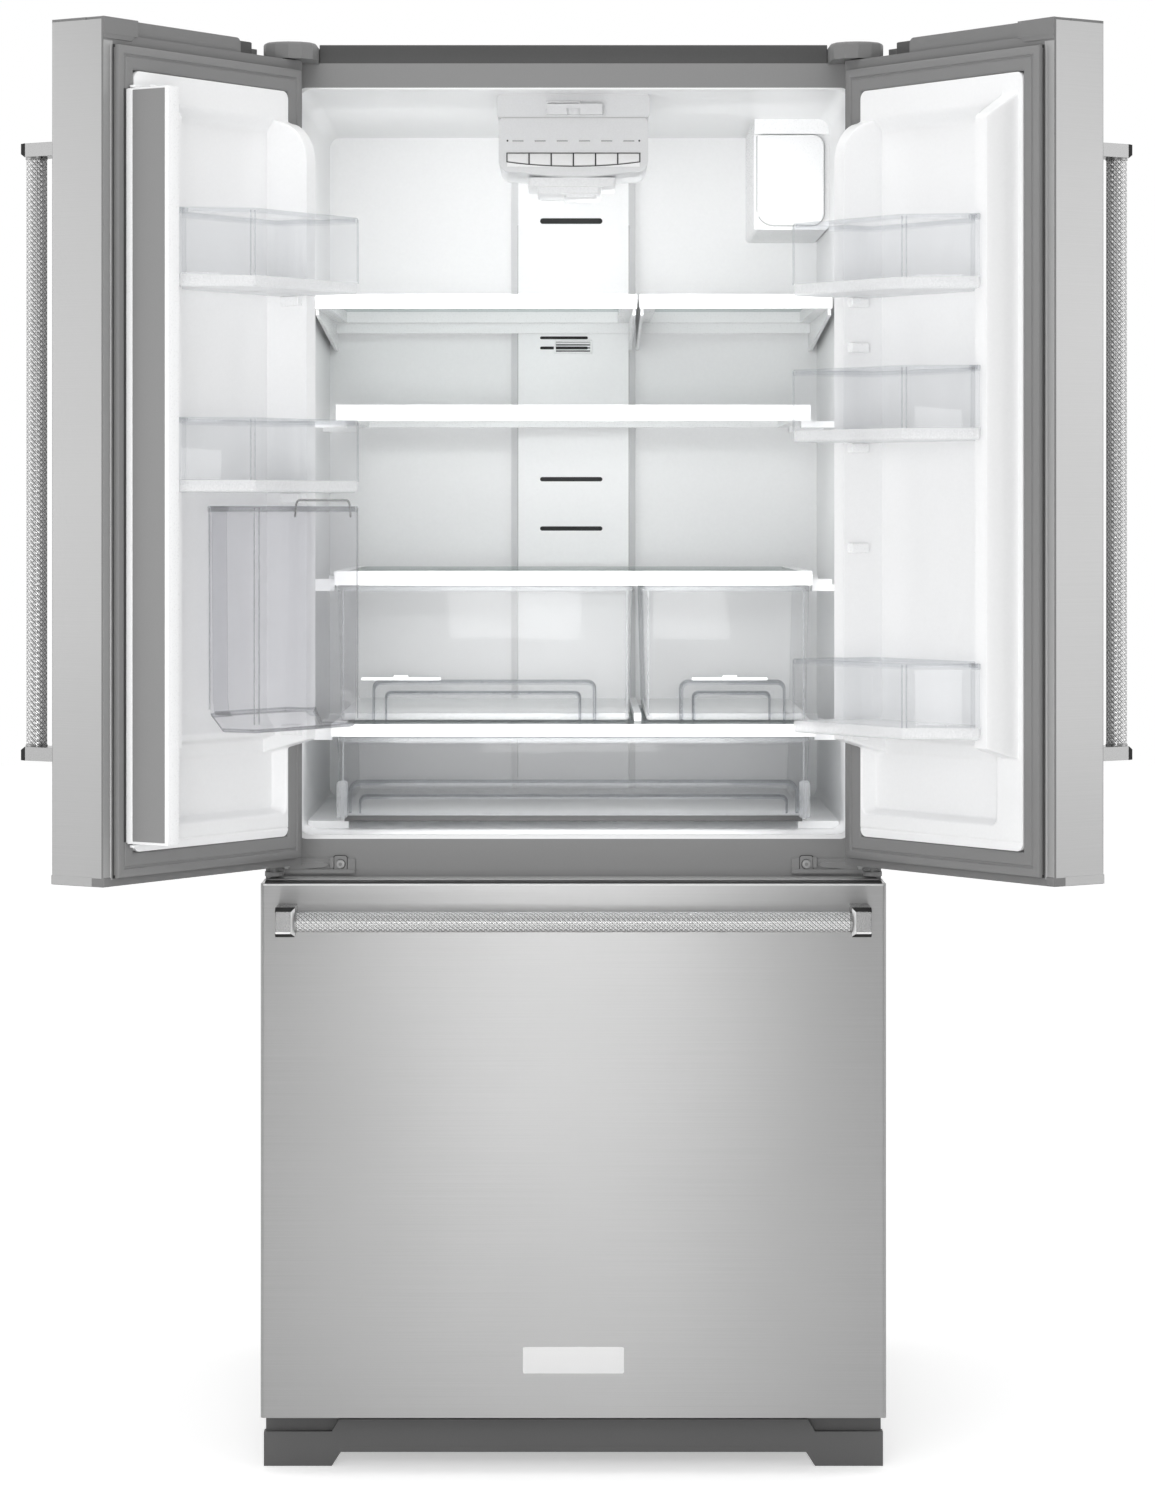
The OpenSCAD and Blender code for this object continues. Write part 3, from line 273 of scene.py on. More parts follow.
def surface(name, shades, rough, metallic=0, grain=900, bump_by=(0.05, 0.0004), extra=None,
            stretch=(1, 1, 1), detail=3):
    """A material whose colour, roughness and bump vary with fine noise."""
    m, nt = new_material(name)
    fine = noise(nt, grain, coords(nt, stretch), detail)
    broad = noise(nt, 2.3, coords(nt), 2)
    mixed = maths(nt, "MULTIPLY_ADD", fine, 0.6, maths(nt, "MULTIPLY", broad, 0.4))
    output(nt, node(nt, "BsdfPrincipled", {
        "Base Color": ramp(nt, mixed, (0.3, shades[0]), (0.7, shades[1])),
        "Roughness": ramp(nt, fine, (0.3, rough[0]), (0.7, rough[1])),
        "Normal": bump(nt, fine, *bump_by), "Metallic": metallic, **(extra or {})}))
    return m


def clear(name, tint, edge, gloss_rough=0.03, haze=0, wobble=True):
    """Thin clear plastic or glass: see-through face on, tinted and reflective at a grazing angle."""
    m, nt = new_material(name)
    facing = node(nt, "LayerWeight", {"Blend": 0.5}).outputs["Facing"]
    through = node(nt, "BsdfTransparent",
                   {"Color": ramp(nt, facing, (0, tint), (0.6, tint), (1, edge))})
    gloss = node(nt, "BsdfGlossy", {"Roughness": gloss_rough})
    if wobble:
        nt.links.new(bump(nt, noise(nt, 9, coords(nt), 1), 0.06, 0.01), gloss.inputs["Normal"])
    shine = maths(nt, "MULTIPLY_ADD", maths(nt, "POWER", facing, 4), 0.495, 0.035)
    last = node(nt, "MixShader", {0: shine, 1: through.outputs[0], 2: gloss.outputs[0]})
    if haze:
        milky = node(nt, "BsdfDiffuse", {"Color": rgba([min(1, c * 1.02) for c in tint])})
        amount = ramp(nt, noise(nt, 700, coords(nt), 2), (0.3, haze * 0.8), (0.7, haze))
        last = node(nt, "MixShader", {0: amount, 1: last.outputs[0], 2: milky.outputs[0]})
    output(nt, last)
    return m


def glow(name, shades, colour, strength):
    """Frosted plastic that gives off a little light."""
    m, nt = new_material(name)
    fine = noise(nt, 400, coords(nt), 2)
    output(nt, node(nt, "BsdfPrincipled", {
        "Base Color": ramp(nt, fine, (0.3, shades[0]), (0.7, shades[1])), "Roughness": 0.5,
        "Emission Color": rgba(colour), "Emission Strength": strength}))
    return m


BRUSH_LINES = (1.2, 1.2, 420)
BRUSHED = {"Anisotropic": 0.8, "Anisotropic Rotation": 0.25}  # level lines spread a highlight up and down
MATTE = {"Specular IOR Level": 0.12}
FINE, SOFT, PLAIN, DEEP = (0.02, 0.0002), (0.03, 0.0002), (0.04, 0.0002), (0.2, 0.0003)  # bumps


def coat(weight):
    return {"Coat Weight": weight, "Coat Roughness": 0.08}


WHITE = (0.85, 0.853, 0.857)
# name, two shades, two roughnesses, metallic, scale of the grain, bump, further inputs, stretch, detail
SOLID = {
    "steel": ("brushed_stainless", (0.43, 0.5), (0.29, 0.35), 1, 3, (0.12, 0.0003),
              BRUSHED, BRUSH_LINES, 6),
    "handle": ("satin_handle_steel", (0.36, 0.42), (0.22, 0.3), 1, 900, SOFT),
    # light chamfer edges of the handles: painted highlights
    "painted_edge_highlight": ("bright_steel_edge", (0.84, 0.9), (0.3, 0.4), 0.1, 900, FINE),
    # lighter steel of the drawer's rolled edge: painted highlight
    "roll": ("rolled_steel_edge", (0.62, 0.68), (0.3, 0.4), 0.2, 900, FINE),
    # dark steel of the knurl's core: painted shade in its grooves
    "groove": ("knurl_groove_steel", (0.19, 0.24), (0.4, 0.5), 0.7, 900, FINE),
    # near-black chamfers of the handles: painted reflection of the dark room
    "painted_dark_reflection": ("dark_handle_chamfer", (0.025, 0.035), (0.7, 0.8), 0, 900, SOFT, MATTE),
    "knurl": ("knurled_handle_steel", (0.9, 0.95), (0.26, 0.34), 1, 900, FINE),
    "cabinet": ("cabinet_gray_paint", (0.2, 0.23), (0.42, 0.55), 0, 1400, (0.12, 0.0003)),
    "frame": ("frame_gray_paint", (0.225, 0.25), (0.4, 0.52), 0, 1200, (0.08, 0.0002)),
    # dark paint, also used as painted shade on the door caps' recess and front wall
    "dark": ("dark_gray_paint", (0.075, 0.1), (0.4, 0.55), 0.2, 1200),
    "fold": ("folded_skin_edge", (0.36, 0.41), (0.35, 0.45), 0.3, 1200, (0.06, 0.0002)),
    "face": ("flipper_gray_steel", (0.23, 0.26), (0.35, 0.45), 0.1, 1200, (0.05, 0.0002)),
    # dark strip paint, also used as painted shadow under the pantry drawer
    "strip": ("roof_strip_paint", (0.06, 0.08), (0.35, 0.5), 0, 1300, (0.1, 0.0002)),
    # dark joints and seams, and also painted shade behind slots, buttons and beside the flipper
    "gap": ("dark_recess", (0.03, 0.05), (0.7, 0.85), 0, 500),
    # grey seams, and also painted shade in the housing's pocket and under its strip
    "seam": ("soft_seam", (0.5, 0.55), (0.5, 0.6), 0, 700),
    "cap": ("gray_cap_plastic", (0.17, 0.2), (0.42, 0.55), 0, 1600, DEEP),
    "kick": ("kick_plate_plastic", (0.1, 0.125), (0.45, 0.6), 0, 1600, DEEP),
    "roller": ("roller_plastic", (0.05, 0.07), (0.5, 0.65)),
    "button": ("button_plastic", (0.74, 0.79), (0.3, 0.4), 0, 600, PLAIN),
    "liner": ("white_liner_plastic", (WHITE, (0.88, 0.883, 0.887)), (0.28, 0.4), 0, 260,
              (0.05, 0.0003), coat(0.1)),
    # the housing is greyer than the white plastic: painted shade
    "housing": ("white_housing_plastic", ((0.67, 0.675, 0.682), (0.72, 0.725, 0.732)),
                (0.28, 0.4), 0, 500, PLAIN, coat(0.1)),
    "white": ("white_shelf_plastic", (WHITE, (0.885, 0.888, 0.892)), (0.25, 0.36), 0, 500,
              PLAIN, coat(0.15)),
    "gasket": ("gray_gasket_rubber", (0.19, 0.225), (0.55, 0.7), 0, 1500, (0.1, 0.0002)),
    "foam": ("insulation_foam", ((0.62, 0.55, 0.3), (0.72, 0.65, 0.4)), (0.85, 0.95), 0,
             300, (0.4, 0.001)),
    "black": ("black_enamel", (0.012, 0.02), (0.25, 0.4)),
    "aluminium": ("bare_aluminium", (0.6, 0.7), (0.3, 0.45), 1, 700),
    "zinc": ("zinc_plated_steel", ((0.5, 0.51, 0.52), (0.6, 0.61, 0.6)), (0.35, 0.5), 1,
             120, (0.05, 0.0003)),
    "badge": ("bare_badge_metal", (0.78, 0.84), (0.12, 0.2), 1, 900, (0.02, 0.0001)),
}
# name, tint face on, tint at the edge, roughness, haze, wobble
THIN = {
    "frost": ("frosted_bin_floor", (0.95, 0.953, 0.957), (0.84, 0.85, 0.865), 0.2, 0.5, False),
    "clear": ("clear_bin_plastic", (0.975, 0.978, 0.982), (0.74, 0.77, 0.8), 0.03, 0.03),
    "crisper": ("clear_crisper_plastic", (0.97, 0.972, 0.975), (0.76, 0.775, 0.79), 0.05, 0.1),
    "smoke": ("smoked_drawer_plastic", (0.925, 0.925, 0.935), (0.54, 0.54, 0.55), 0.04, 0.05),
    "pantry": ("pantry_drawer_plastic", (0.92, 0.924, 0.93), (0.6, 0.615, 0.63), 0.04, 0.08),
    "rim": ("clear_rim_edge", (0.9, 0.907, 0.916), (0.4, 0.42, 0.45), 0.05, 0.08, False),
    "rim_smoke": ("smoked_rim_edge", (0.8, 0.805, 0.815), (0.36, 0.365, 0.375), 0.06, 0.12, False),
    "rim_dark": ("drawer_rim_edge", (0.8, 0.81, 0.82), (0.42, 0.435, 0.45), 0.06, 0.25, False),
    "hood": ("clear_pull_hood", (0.84, 0.852, 0.865), (0.38, 0.4, 0.43), 0.03, 0.04, False),
    "glass": ("shelf_glass_pane", (0.965, 0.972, 0.97), (0.62, 0.68, 0.67), 0.015),
}
M = {key: surface(*row) for key, row in SOLID.items()}
M.update({key: clear(*row) for key, row in THIN.items()})
M["lens"] = glow("frosted_lamp_lens", ((0.74, 0.745, 0.75), (0.8, 0.805, 0.81)), (1, 0.995, 0.985), 0.04)


# ---------- pieces ----------
def finish_mesh(o, bevel=0, segments=2, angle=35):
    for p in o.data.polygons:
        p.use_smooth = True
    if bevel:
        m = o.modifiers.new("Bevel", "BEVEL")
        m.width = bevel * MM
        m.segments = segments
        m.limit_method = "ANGLE"
        m.angle_limit = math.radians(angle)
    o.data.set_sharp_from_angle(angle=math.radians(angle))


def piece(name, shape, mat, body="cabinet", slot=None, bevel=0, segments=2, angle=35, swap=None):
    """Makes a piece from a shape or a list of shapes, puts it on its body and gives it its material."""
    verts, faces = merge(*shape) if isinstance(shape, list) else shape
    place, mirrored = PLACE.get(body, (cabinet_place, False))
    me = bpy.data.meshes.new(name)
    me.from_pydata([place(v) for v in verts], [],
                   [tuple(reversed(f)) for f in faces] if mirrored else faces)
    me.validate()
    bm = bmesh.new()
    bm.from_mesh(me)
    bmesh.ops.recalc_face_normals(bm, faces=bm.faces)
    bm.to_mesh(me)
    bm.free()
    o = bpy.data.objects.new(name, me)
    bpy.context.scene.collection.objects.link(o)
    me.materials.append(M[mat])
    finish_mesh(o, bevel, segments, angle)
    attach(o, body)
    if swap:
        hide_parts(swap)


# material and bevel of the CAD nodes
DRESS = {
    ("cabinet", 1): "cabinet_shell", ("frame", 0.6): "front_frame door_hinges",
    ("foam", 0): "cabinet_foam", ("liner", 2.5): "fridge_liner", ("liner", 1.2): "air_tower",
    ("liner", 2): "left_door_liner right_door_liner", ("liner", 0): "freezer_liner drawer_liner",
    ("zinc", 0): "rear_covers", ("zinc", 0.4): "drawer_rails", ("black", 0): "compressor condenser",
    ("roller", 0): "condenser_fan", ("roller", 1): "rear_rollers", ("roller", 0.6): "leveling_legs",
    ("aluminium", 0): "evaporator", ("dark", 0): "base_frame", ("kick", 1.6): "kick_plate",
    ("cap", 2): "hinge_covers", ("cap", 0.8): "left_door_caps right_door_caps",
    ("housing", 1): "control_housing", ("lens", 1.2): "lamp_lens",
    ("white", 0): "lower_basket upper_basket", ("white", 1): "filter_housing flipper_mullion",
    ("white", 1.2): "water_filter_cover", ("white", 1.5): "upper_shelves",
    ("white", 2): "middle_shelf crisper_cover pantry_cover",
    ("white", 0.6): " ".join("control_button_%d" % i for i in range(1, 7)),
    ("glass", 0.4): "shelf_glass", ("crisper", 0): "left_crisper right_crisper",
    ("pantry", 0): "pantry_drawer", ("smoke", 0): "produce_bin", ("badge", 0.5): "badge_plate",
    ("clear", 0): "left_upper_bin left_middle_bin right_upper_bin right_middle_bin gallon_bin",
    ("steel", 1.1): "left_door_skin right_door_skin drawer_skin", ("gasket", 0): "drawer_gasket",
    ("gasket", 0.8): "left_door_gasket right_door_gasket",
    ("handle", 0.6): "left_handle right_handle drawer_handle",
}
for (mat, bev), names in DRESS.items():
    for name in names.split():
        o = nodes[name]
        o.data.materials.clear()
        o.data.materials.append(M[mat])
        finish_mesh(o, bev)

# ---------- sizes, as in the part's source ----------
DOOR_W, DOOR_Z0, DOOR_Z1 = 376, 735.4, 1731.5
SKIN_TOP = DOOR_Z1 - 27
RIM_D, RIDGE_TOP = 88.4, 134.4  # depth of a door liner's rim, and of the crest of its ridges
RISE = RIDGE_TOP - RIM_D
RIDGE_Z0, RIDGE_Z1 = 892.4, 1619.5
SEAL = (13, 360.8, 745.2, 1700.3)  # outline of a door's gasket
POST_HALF, BAR_OUT = 17.4, 52  # half a handle post's width, and the bar's axis from the door


# ---------- handles ----------
def knurled_bar(r, length, pitch, count, height):
    """A bar whose skin is cut into raised diamonds, along x."""
    n_round = count * 4
    n_long = int(round(length / pitch)) * 4
    loops = []
    for i in range(n_long + 1):
        inner = min(1, i, n_long - i)
        loop = []
        for k in range(n_round):
            p, q = (k / 4 + i / 4) % 1, (k / 4 - i / 4) % 1
            h = min(1 - abs(2 * p - 1), 1 - abs(2 * q - 1))
            rr = r - height + height * min(h * 1.25, 0.85) * inner
            t = 2 * math.pi * k / n_round
            loop.append((length * i / n_long, rr * math.cos(t), rr * math.sin(t)))
        loops.append(loop)
    return loft(loops)


def handle(name, length, post, at, along, body):
    """Two chamfered posts and a knurled bar, with x along the bar, y across it and z out of the door."""
    def add(part, shape, mat, **more):
        v, f = shape
        a, b = (0, 1) if along == "x" else (1, 0)
        turned = [(at[0] + p[a], -p[2], at[1] + p[b]) for p in v]
        piece(name + part, (turned, f), mat, body, **more)

    posts, shades, painted_highlights = [], [], []
    for far in (False, True):
        def x(t):
            return length - t if far else t

        def level(a, b, y0, y1, z0, z1=None):
            """A loop over the post from a to b, at z0 where y is y0 and at z1 where y is y1."""
            z1 = z0 if z1 is None else z1
            return [(x(a), y0, z0), (x(b), y0, z0), (x(b), y1, z1), (x(a), y1, z1)]

        posts.append(loft([level(a, b, -c, c, z) for z, a, b, c in (
            (0, 0, post, POST_HALF), (55.4, 0, post, POST_HALF),
            (64.1, 0.3, post - 4.2, 13.5), (64.5, 0.7, post - 4.7, 13.1))]))
        # dark strips on the chamfers above and below: a painted reflection of the dark room
        for sign in (-1, 1):
            shades.append(loft([level(-0.05, b, sign * (c - 1.5), sign * (c + 0.2), z - 0.6, z + 0.2)
                                for z, c, b in ((55, 17.6, post), (64, 13.6, post - 4))]))
        # light strips on the chamfer towards the bar and the lower edge of the front: painted highlights
        chamfer = []
        for z, c, a, b in ((55.6, 16.6, 1.6, -0.2), (64, 12.9, 5.8, 3.9)):
            chamfer.append([(x(post - a), -c, z - 0.5), (x(post - a), c, z - 0.5),
                            (x(post - b), c, z + 0.2), (x(post - b), -c, z + 0.2)])
        painted_highlights.append(loft(chamfer))
        painted_highlights.append(loft([level(0.6, post - 4.6, c0, c1, z)
                             for z, c0, c1 in ((63.8, -13, -10.8), (64.7, -12.8, -11))]))
    add("_posts", merge(*posts), "handle", bevel=0.35, angle=20, swap=name)
    add("_painted_reflection_chamfers", merge(*shades), "painted_dark_reflection", angle=20)
    add("_painted_highlight_edges", merge(*painted_highlights), "painted_edge_highlight", angle=20)
    start, run = post + 1, length - 2 * post - 2
    v, f = knurled_bar(12.5, run, 6, 13, 1.1)
    add("_knurled_bar", ([(p[0] + start, p[1], p[2] + BAR_OUT) for p in v], f), "knurl", angle=12)
    # the core shows between the diamonds, in darker steel: painted shade in the grooves
    core = [(9, 0), (11.75, 0.4), (11.75, run - 0.4), (9, run)]
    add("_bar_core", revolve(core, (start, 0, BAR_OUT), "x"), "groove", angle=30)
    collar = [(11.5, 0), (12.9, 0.5), (12.9, 2.7), (11.5, 3.2)]
    add("_collars", merge(*[revolve(collar, (x, 0, BAR_OUT), "x", 56)
                            for x in (post - 0.6, length - post - 2.6)]), "handle", angle=30)


for side in ("left", "right"):
    handle(side + "_handle", 718, 16, (DOOR_W - 36, DOOR_Z0 + 140), "z", "door_" + side)
handle("drawer_handle", 712, 23, (-356, 674.4), "x", "freezer_drawer")

# ---------- magnetic gaskets ----------
GASKET = [(3, 77.9), (3, 82.2), (0.4, 82.8), (0, 84.2), (0.3, 87.2), (1.6, 88.4), (9.6, 88.4), (10.6, 87),
          (12.4, 87), (13.4, 88.3), (24.6, 88.3), (26.8, 87.2), (28, 84.8), (27.6, 82.8), (25, 82.2),
          (25, 77.9)]
# folded edge of the steel skin, with a lip beside the gasket
FOLD = [(375.8, 76.8), (375.8, 77.6), (375.3, 78.1), (363.6, 78.1), (362.8, 79), (360.4, 79),
        (359.9, 78.3), (359.9, 76.8)]
for side in ("left", "right"):
    piece(side + "_door_seal", ring_sweep(GASKET, *SEAL), "gasket", "door_" + side, angle=50,
          swap=side + "_door_gasket")
    piece(side + "_skin_fold", prism(FOLD, "z", DOOR_Z0 + 8, SKIN_TOP), "fold", "door_" + side, angle=40)
piece("drawer_seal", ring_sweep(GASKET, -365, 365, 82.4, 705.4), "gasket", "freezer_drawer", angle=50,
      swap="drawer_gasket")


# ---------- moulded door liners ----------
def rounded_distance(u, z, u0, u1, z0, z1, r):
    """Distance from a rounded rectangle, less than zero inside it."""
    qu = abs(u - (u0 + u1) / 2) - (u1 - u0) / 2 + r
    qz = abs(z - (z0 + z1) / 2) - (z1 - z0) / 2 + r
    return math.hypot(max(qu, 0), max(qz, 0)) + min(max(qu, qz), 0) - r


def across_ridge(u, u0, u1, left, right):
    """Depth across a ridge: its crest from u0 to u1, and slopes that fall by RISE in left and right."""
    if u0 <= u <= u1:
        return RIDGE_TOP
    return RIDGE_TOP - RISE * min(1.4, (u0 - u) / left if u < u0 else (u - u1) / right)


def along_ridge(z, rounded_top):
    """Depth along a ridge, whose upper end is round or slanted."""
    if z < RIDGE_Z0:
        return RIDGE_TOP - RISE * (RIDGE_Z0 - z) / 12
    if rounded_top:
        top, run = RIDGE_Z1 + 14, 54
        if z > top:
            return RIM_D - (z - top)
        if z > top - run:
            return RIM_D + RISE * math.sqrt(1 - ((z - top + run) / run) ** 2)
    elif z > RIDGE_Z1:
        return RIDGE_TOP - RISE * (z - RIDGE_Z1) / 28
    return RIDGE_TOP


def liner_depth(u, z):
    """Depth of the liner's face: a main hollow and a pocket below it, a groove and two ridges."""
    main = RIM_D - 11.4 * smooth_step(-rounded_distance(u, z, 49, 319, 902, 1640, 16) / 20)
    pocket = RIM_D - 17.8 * smooth_step(-rounded_distance(u, z, 43.5, 288, 800, 898, 10) / 8)
    groove = 0.9 * smooth_step(1 - abs(z - 783.5) / 1.6)
    base = min(main, pocket)
    hinge = soft_min(across_ridge(u, 45.5, 63, 4.2, 4), along_ridge(z, True), 7)
    free = soft_min(across_ridge(u, 301, 321.5, 3.5, 4), along_ridge(z, False), 7)
    return max(soft_max(base, hinge, 5), soft_max(base, free, 5)) - groove


def spaced(first, *spans):
    """Values from first to the end of each (end, count) span, evenly spaced within it."""
    out, a = [], first
    for b, n in spans:
        out += [a + (b - a) * i / n for i in range(n)]
        a = b
    return out + [a]


LINER_U, LINER_Z, LINER_R, LINER_BACK = (41.4, 333.2), (773.5, 1672), 10, 68


def round_corner(u, z):
    """Bends the corners of the liner's outline round."""
    cu = min(max(u, LINER_U[0] + LINER_R), LINER_U[1] - LINER_R)
    cz = min(max(z, LINER_Z[0] + LINER_R), LINER_Z[1] - LINER_R)
    a, b = (u - cu) / LINER_R, (z - cz) / LINER_R
    return cu + (u - cu) * math.sqrt(1 - b * b / 2), cz + (z - cz) * math.sqrt(1 - a * a / 2)


def liner_shape():
    """A grid over the liner's face, finer on its slopes, closed by a rim and a back."""
    us = spaced(LINER_U[0], (53, 16), (61, 4), (69, 12), (276, 42), (290, 9), (297, 3), (303, 10), (320, 5),
                (327, 12), (LINER_U[1], 5))
    zs = spaced(LINER_Z[0], (781, 3), (786, 5), (798, 4), (812, 10), (865, 10), (905, 26), (1560, 60),
                (LINER_Z[1], 46))
    nu, nz = len(us), len(zs)
    verts = []
    for u, z in (round_corner(u, z) for z in zs for u in us):
        verts.append((u, liner_depth(u, z), z))
    faces = [(j + i, j + i + 1, j + nu + i + 1, j + nu + i)
             for j in range(0, (nz - 1) * nu, nu) for i in range(nu - 1)]
    rim = (list(range(nu)) + [j * nu + nu - 1 for j in range(1, nz)]
           + [(nz - 1) * nu + i for i in range(nu - 2, -1, -1)] + [j * nu for j in range(nz - 2, 0, -1)])
    o, m = len(verts), len(rim)
    verts += [(verts[k][0], LINER_BACK, verts[k][2]) for k in rim]
    faces += [(rim[k], o + k, o + (k + 1) % m, rim[(k + 1) % m]) for k in range(m)]
    faces.append(tuple(o + k for k in range(m)))
    return verts, faces


# each bin's lowest height, and how tall it is
BINS = {
    "left": {"left_upper_bin": (DOOR_Z0 + 688, 91), "left_middle_bin": (DOOR_Z0 + 452, 86)},
    "right": {"right_upper_bin": (DOOR_Z0 + 686, 86), "right_middle_bin": (DOOR_Z0 + 512, 86),
              "gallon_bin": (DOOR_Z0 + 167, 88)},
}
PRODUCE_Z = DOOR_Z0 + 174
# further lugs: under the produce bin, and bare ones for moving the right door's bins
LUGS = {"left": [PRODUCE_Z - 12], "right": [DOOR_Z0 + 380, DOOR_Z0 + 620]}
for side, bins in BINS.items():
    door = "door_" + side
    piece(side + "_moulded_liner", liner_shape(), "liner", door, angle=55, swap=side + "_door_liner")
    lugs = []
    for z in [z - 12 for z, _ in bins.values()] + LUGS[side]:
        for u in (62, 292):
            lugs.append(rounded_prism([(u, z), (u + 10, z), (u + 10, z + 12), (u, z + 12)], 2.5, 3,
                                      "y", 100, 126.4))
    piece(side + "_bin_lugs", lugs, "white", door, "white_liner", bevel=0.8)
    # foam edge that shows only from inside the caps
    piece(side + "_door_insulation", box((1.2, DOOR_W - 1.2), (1.4, 66), (DOOR_Z0 + 10.2, SKIN_TOP)),
          "foam", door, bevel=2)

# ---------- flipper mullion ----------
piece("flipper_body", [
    rounded_prism([(326.4, 88.9), (348.2, 88.9), (348.2, 97.2), (347.2, 97.8), (347.2, 145), (348.2, 145.6),
                   (348.2, 150.3), (326.4, 150.3)], [2, 0.8, 0.4, 0.3, 0.3, 0.4, 0.8, 2], 3,
                  "z", 785.5, 1649.5),
    box((327.4, 347.4), (90.2, 149.6), (784, 786)), box((327.4, 347.4), (90.2, 149.6), (1649, 1650.4))],
    "white", "flipper", bevel=0.7, swap="flipper_mullion")
piece("flipper_steel_face", box((346.6, 348.1), (98.2, 144.8), (787, 1648.2)), "face", "flipper", bevel=0.5)
piece("flipper_guide_pin", revolve([(4, 0), (4, 2), (3.2, 3)], (337.3, 119.4, 1650.2), "z", 24),
      "white", "flipper")
# dark strip between the gasket and the flipper: painted shadow
piece("flipper_side_painted_shadow", box((348.5, 351.7), (88.1, 88.8), (786, 1650)), "gap", "door_left", bevel=0.1)
piece("flipper_brackets", [
    rounded_prism([(326.6, 84), (334, 84), (334, 89), (343, 89), (343, 96), (326.6, 96)],
                  [1, 1, 0.5, 2, 3, 2], 3, "z", z, z + 3) for z in (779.4, 1651.6)],
    "white", "door_left", "white_liner", bevel=0.5)


# ---------- door bins ----------
def turned_lip(plan, z1, lip, turn, fall):
    """The upper edge of a tray: a lip turned inward, whose edge hangs by fall."""
    return steps(plan, [(0.9, z1 - 7), (0.1, z1 - 6), (0, z1 - 1), (0.7, z1), (lip, z1),
                        (lip + 0.6, z1 - turn), (lip + 0.4, z1 - fall)], caps=False)


def thin_tray(plan, z0, z1, draft, foot=14):
    """One moulded skin, open at the top, and its separate foot and rim bands."""
    wall = steps(plan, [(draft + 3, z0 + foot * 0.55), (draft + 1.2, z0 + foot * 0.8),
                        (draft * 0.8 + 0.6, z0 + foot + 3), (0.8, z1 - 7)], caps=False)
    foot_band = steps(plan, [(draft + 4.5, z0), (draft + 1.6, z0 + 0.8), (draft + 0.4, z0 + 2.6),
                             (draft + 0.2, z0 + foot - 2), (draft + 1, z0 + foot),
                             (draft + 3.4, z0 + foot - 0.6)])
    return wall, foot_band, turned_lip(plan, z1, 2.6, 1, 5)


def corner_ribs(points, z0, z1, r=0.9):
    return merge(*[revolve([(r, z0), (r, z1)], (x, y, 0), "z", 8) for x, y in points])


bin_plan = rounded_poly([(69, 92), (69, 135), (50, 135), (50, 203), (254, 203), (321, 135), (296, 135),
                         (296, 92)], [5, 2, 3, 8, 7, 4, 2, 5])
for side, bins in BINS.items():
    for name, (z0, h) in bins.items():
        wall, foot, rim = thin_tray(bin_plan, z0, z0 + h, 0.4)
        ribs = corner_ribs([(251.8, 201), (256.4, 198.2), (52.2, 201)], z0 + 13, z0 + h - 2)
        piece(name + "_wall", wall, "clear", "door_" + side, angle=30, swap=name)
        piece(name + "_foot", foot, "frost", "door_" + side, angle=30)
        piece(name + "_rim", [rim, ribs], "rim", "door_" + side, angle=40)

produce_plan = rounded_poly([(69, 104), (69, 135), (50, 135), (50, 203), (252, 203), (252, 130), (214, 130),
                             (214, 104)], [5, 2, 3, 8, 8, 3, 2, 5])
z0, z1 = PRODUCE_Z, PRODUCE_Z + 262
CUT_D, CUT_RUN, CUT_RISE = 150, 9, 17  # where the cut corner starts, its run and its rise


def cut_loop(d, z, rise=CUT_RISE):
    """The bin's plan at (inset, z), its lower back corner lifted by a slanted cut."""
    loop = [(x, y, z) for x, y in inset_loop(produce_plan, d)]
    out = []
    for q, after in zip(loop, loop[1:] + loop[:1]):
        out.append(q)
        if (q[1] - CUT_D) * (after[1] - CUT_D) < 0:
            t = (CUT_D - q[1]) / (after[1] - q[1])
            out.append((q[0] + t * (after[0] - q[0]), CUT_D, q[2]))
    return [(x, y, h + rise * min(1, max(0, (CUT_D - y) / CUT_RUN))) for x, y, h in out]


wall = loft([cut_loop(d, z0 + h) for d, h in ((6, 0.4), (4.4, 1.6), (3.4, 6), (2.2, 18))]
            + [cut_loop(0.8, z1 - 7, 0)], caps=False)
edge = loft([cut_loop(d, z0 + h) for d, h in ((9, -0.2), (5.6, 0.8), (3.4, 3.6), (4.2, 4.6), (6.4, 2.4))],
            caps=False)
plate = [(56, 197, 0), (246, 197, 0), (56, CUT_D, 0), (246, CUT_D, 0), (56, 141, CUT_RISE),
         (246, 136, CUT_RISE), (75, 110, CUT_RISE), (208, 110, CUT_RISE), (75, 141, CUT_RISE),
         (208, 136, CUT_RISE)]
plate = ([(x, y, z0 + 0.4 + h) for x, y, h in plate], [(0, 1, 3, 2), (2, 3, 5, 4), (8, 9, 7, 6)])
piece("produce_bin_wall", [wall, plate], "smoke", "door_left", angle=32, swap="produce_bin")
piece("produce_bin_edges", [
    turned_lip(produce_plan, z1, 3, 1.2, 6), edge,
    corner_ribs([(244.6, 201.2), (250, 198.4), (52.6, 200.6)], z0 + 10, z1 - 2),
    corner_ribs([(250.2, 133)], z0 + 26, z1 - 2)], "rim_smoke", "door_left", angle=40)
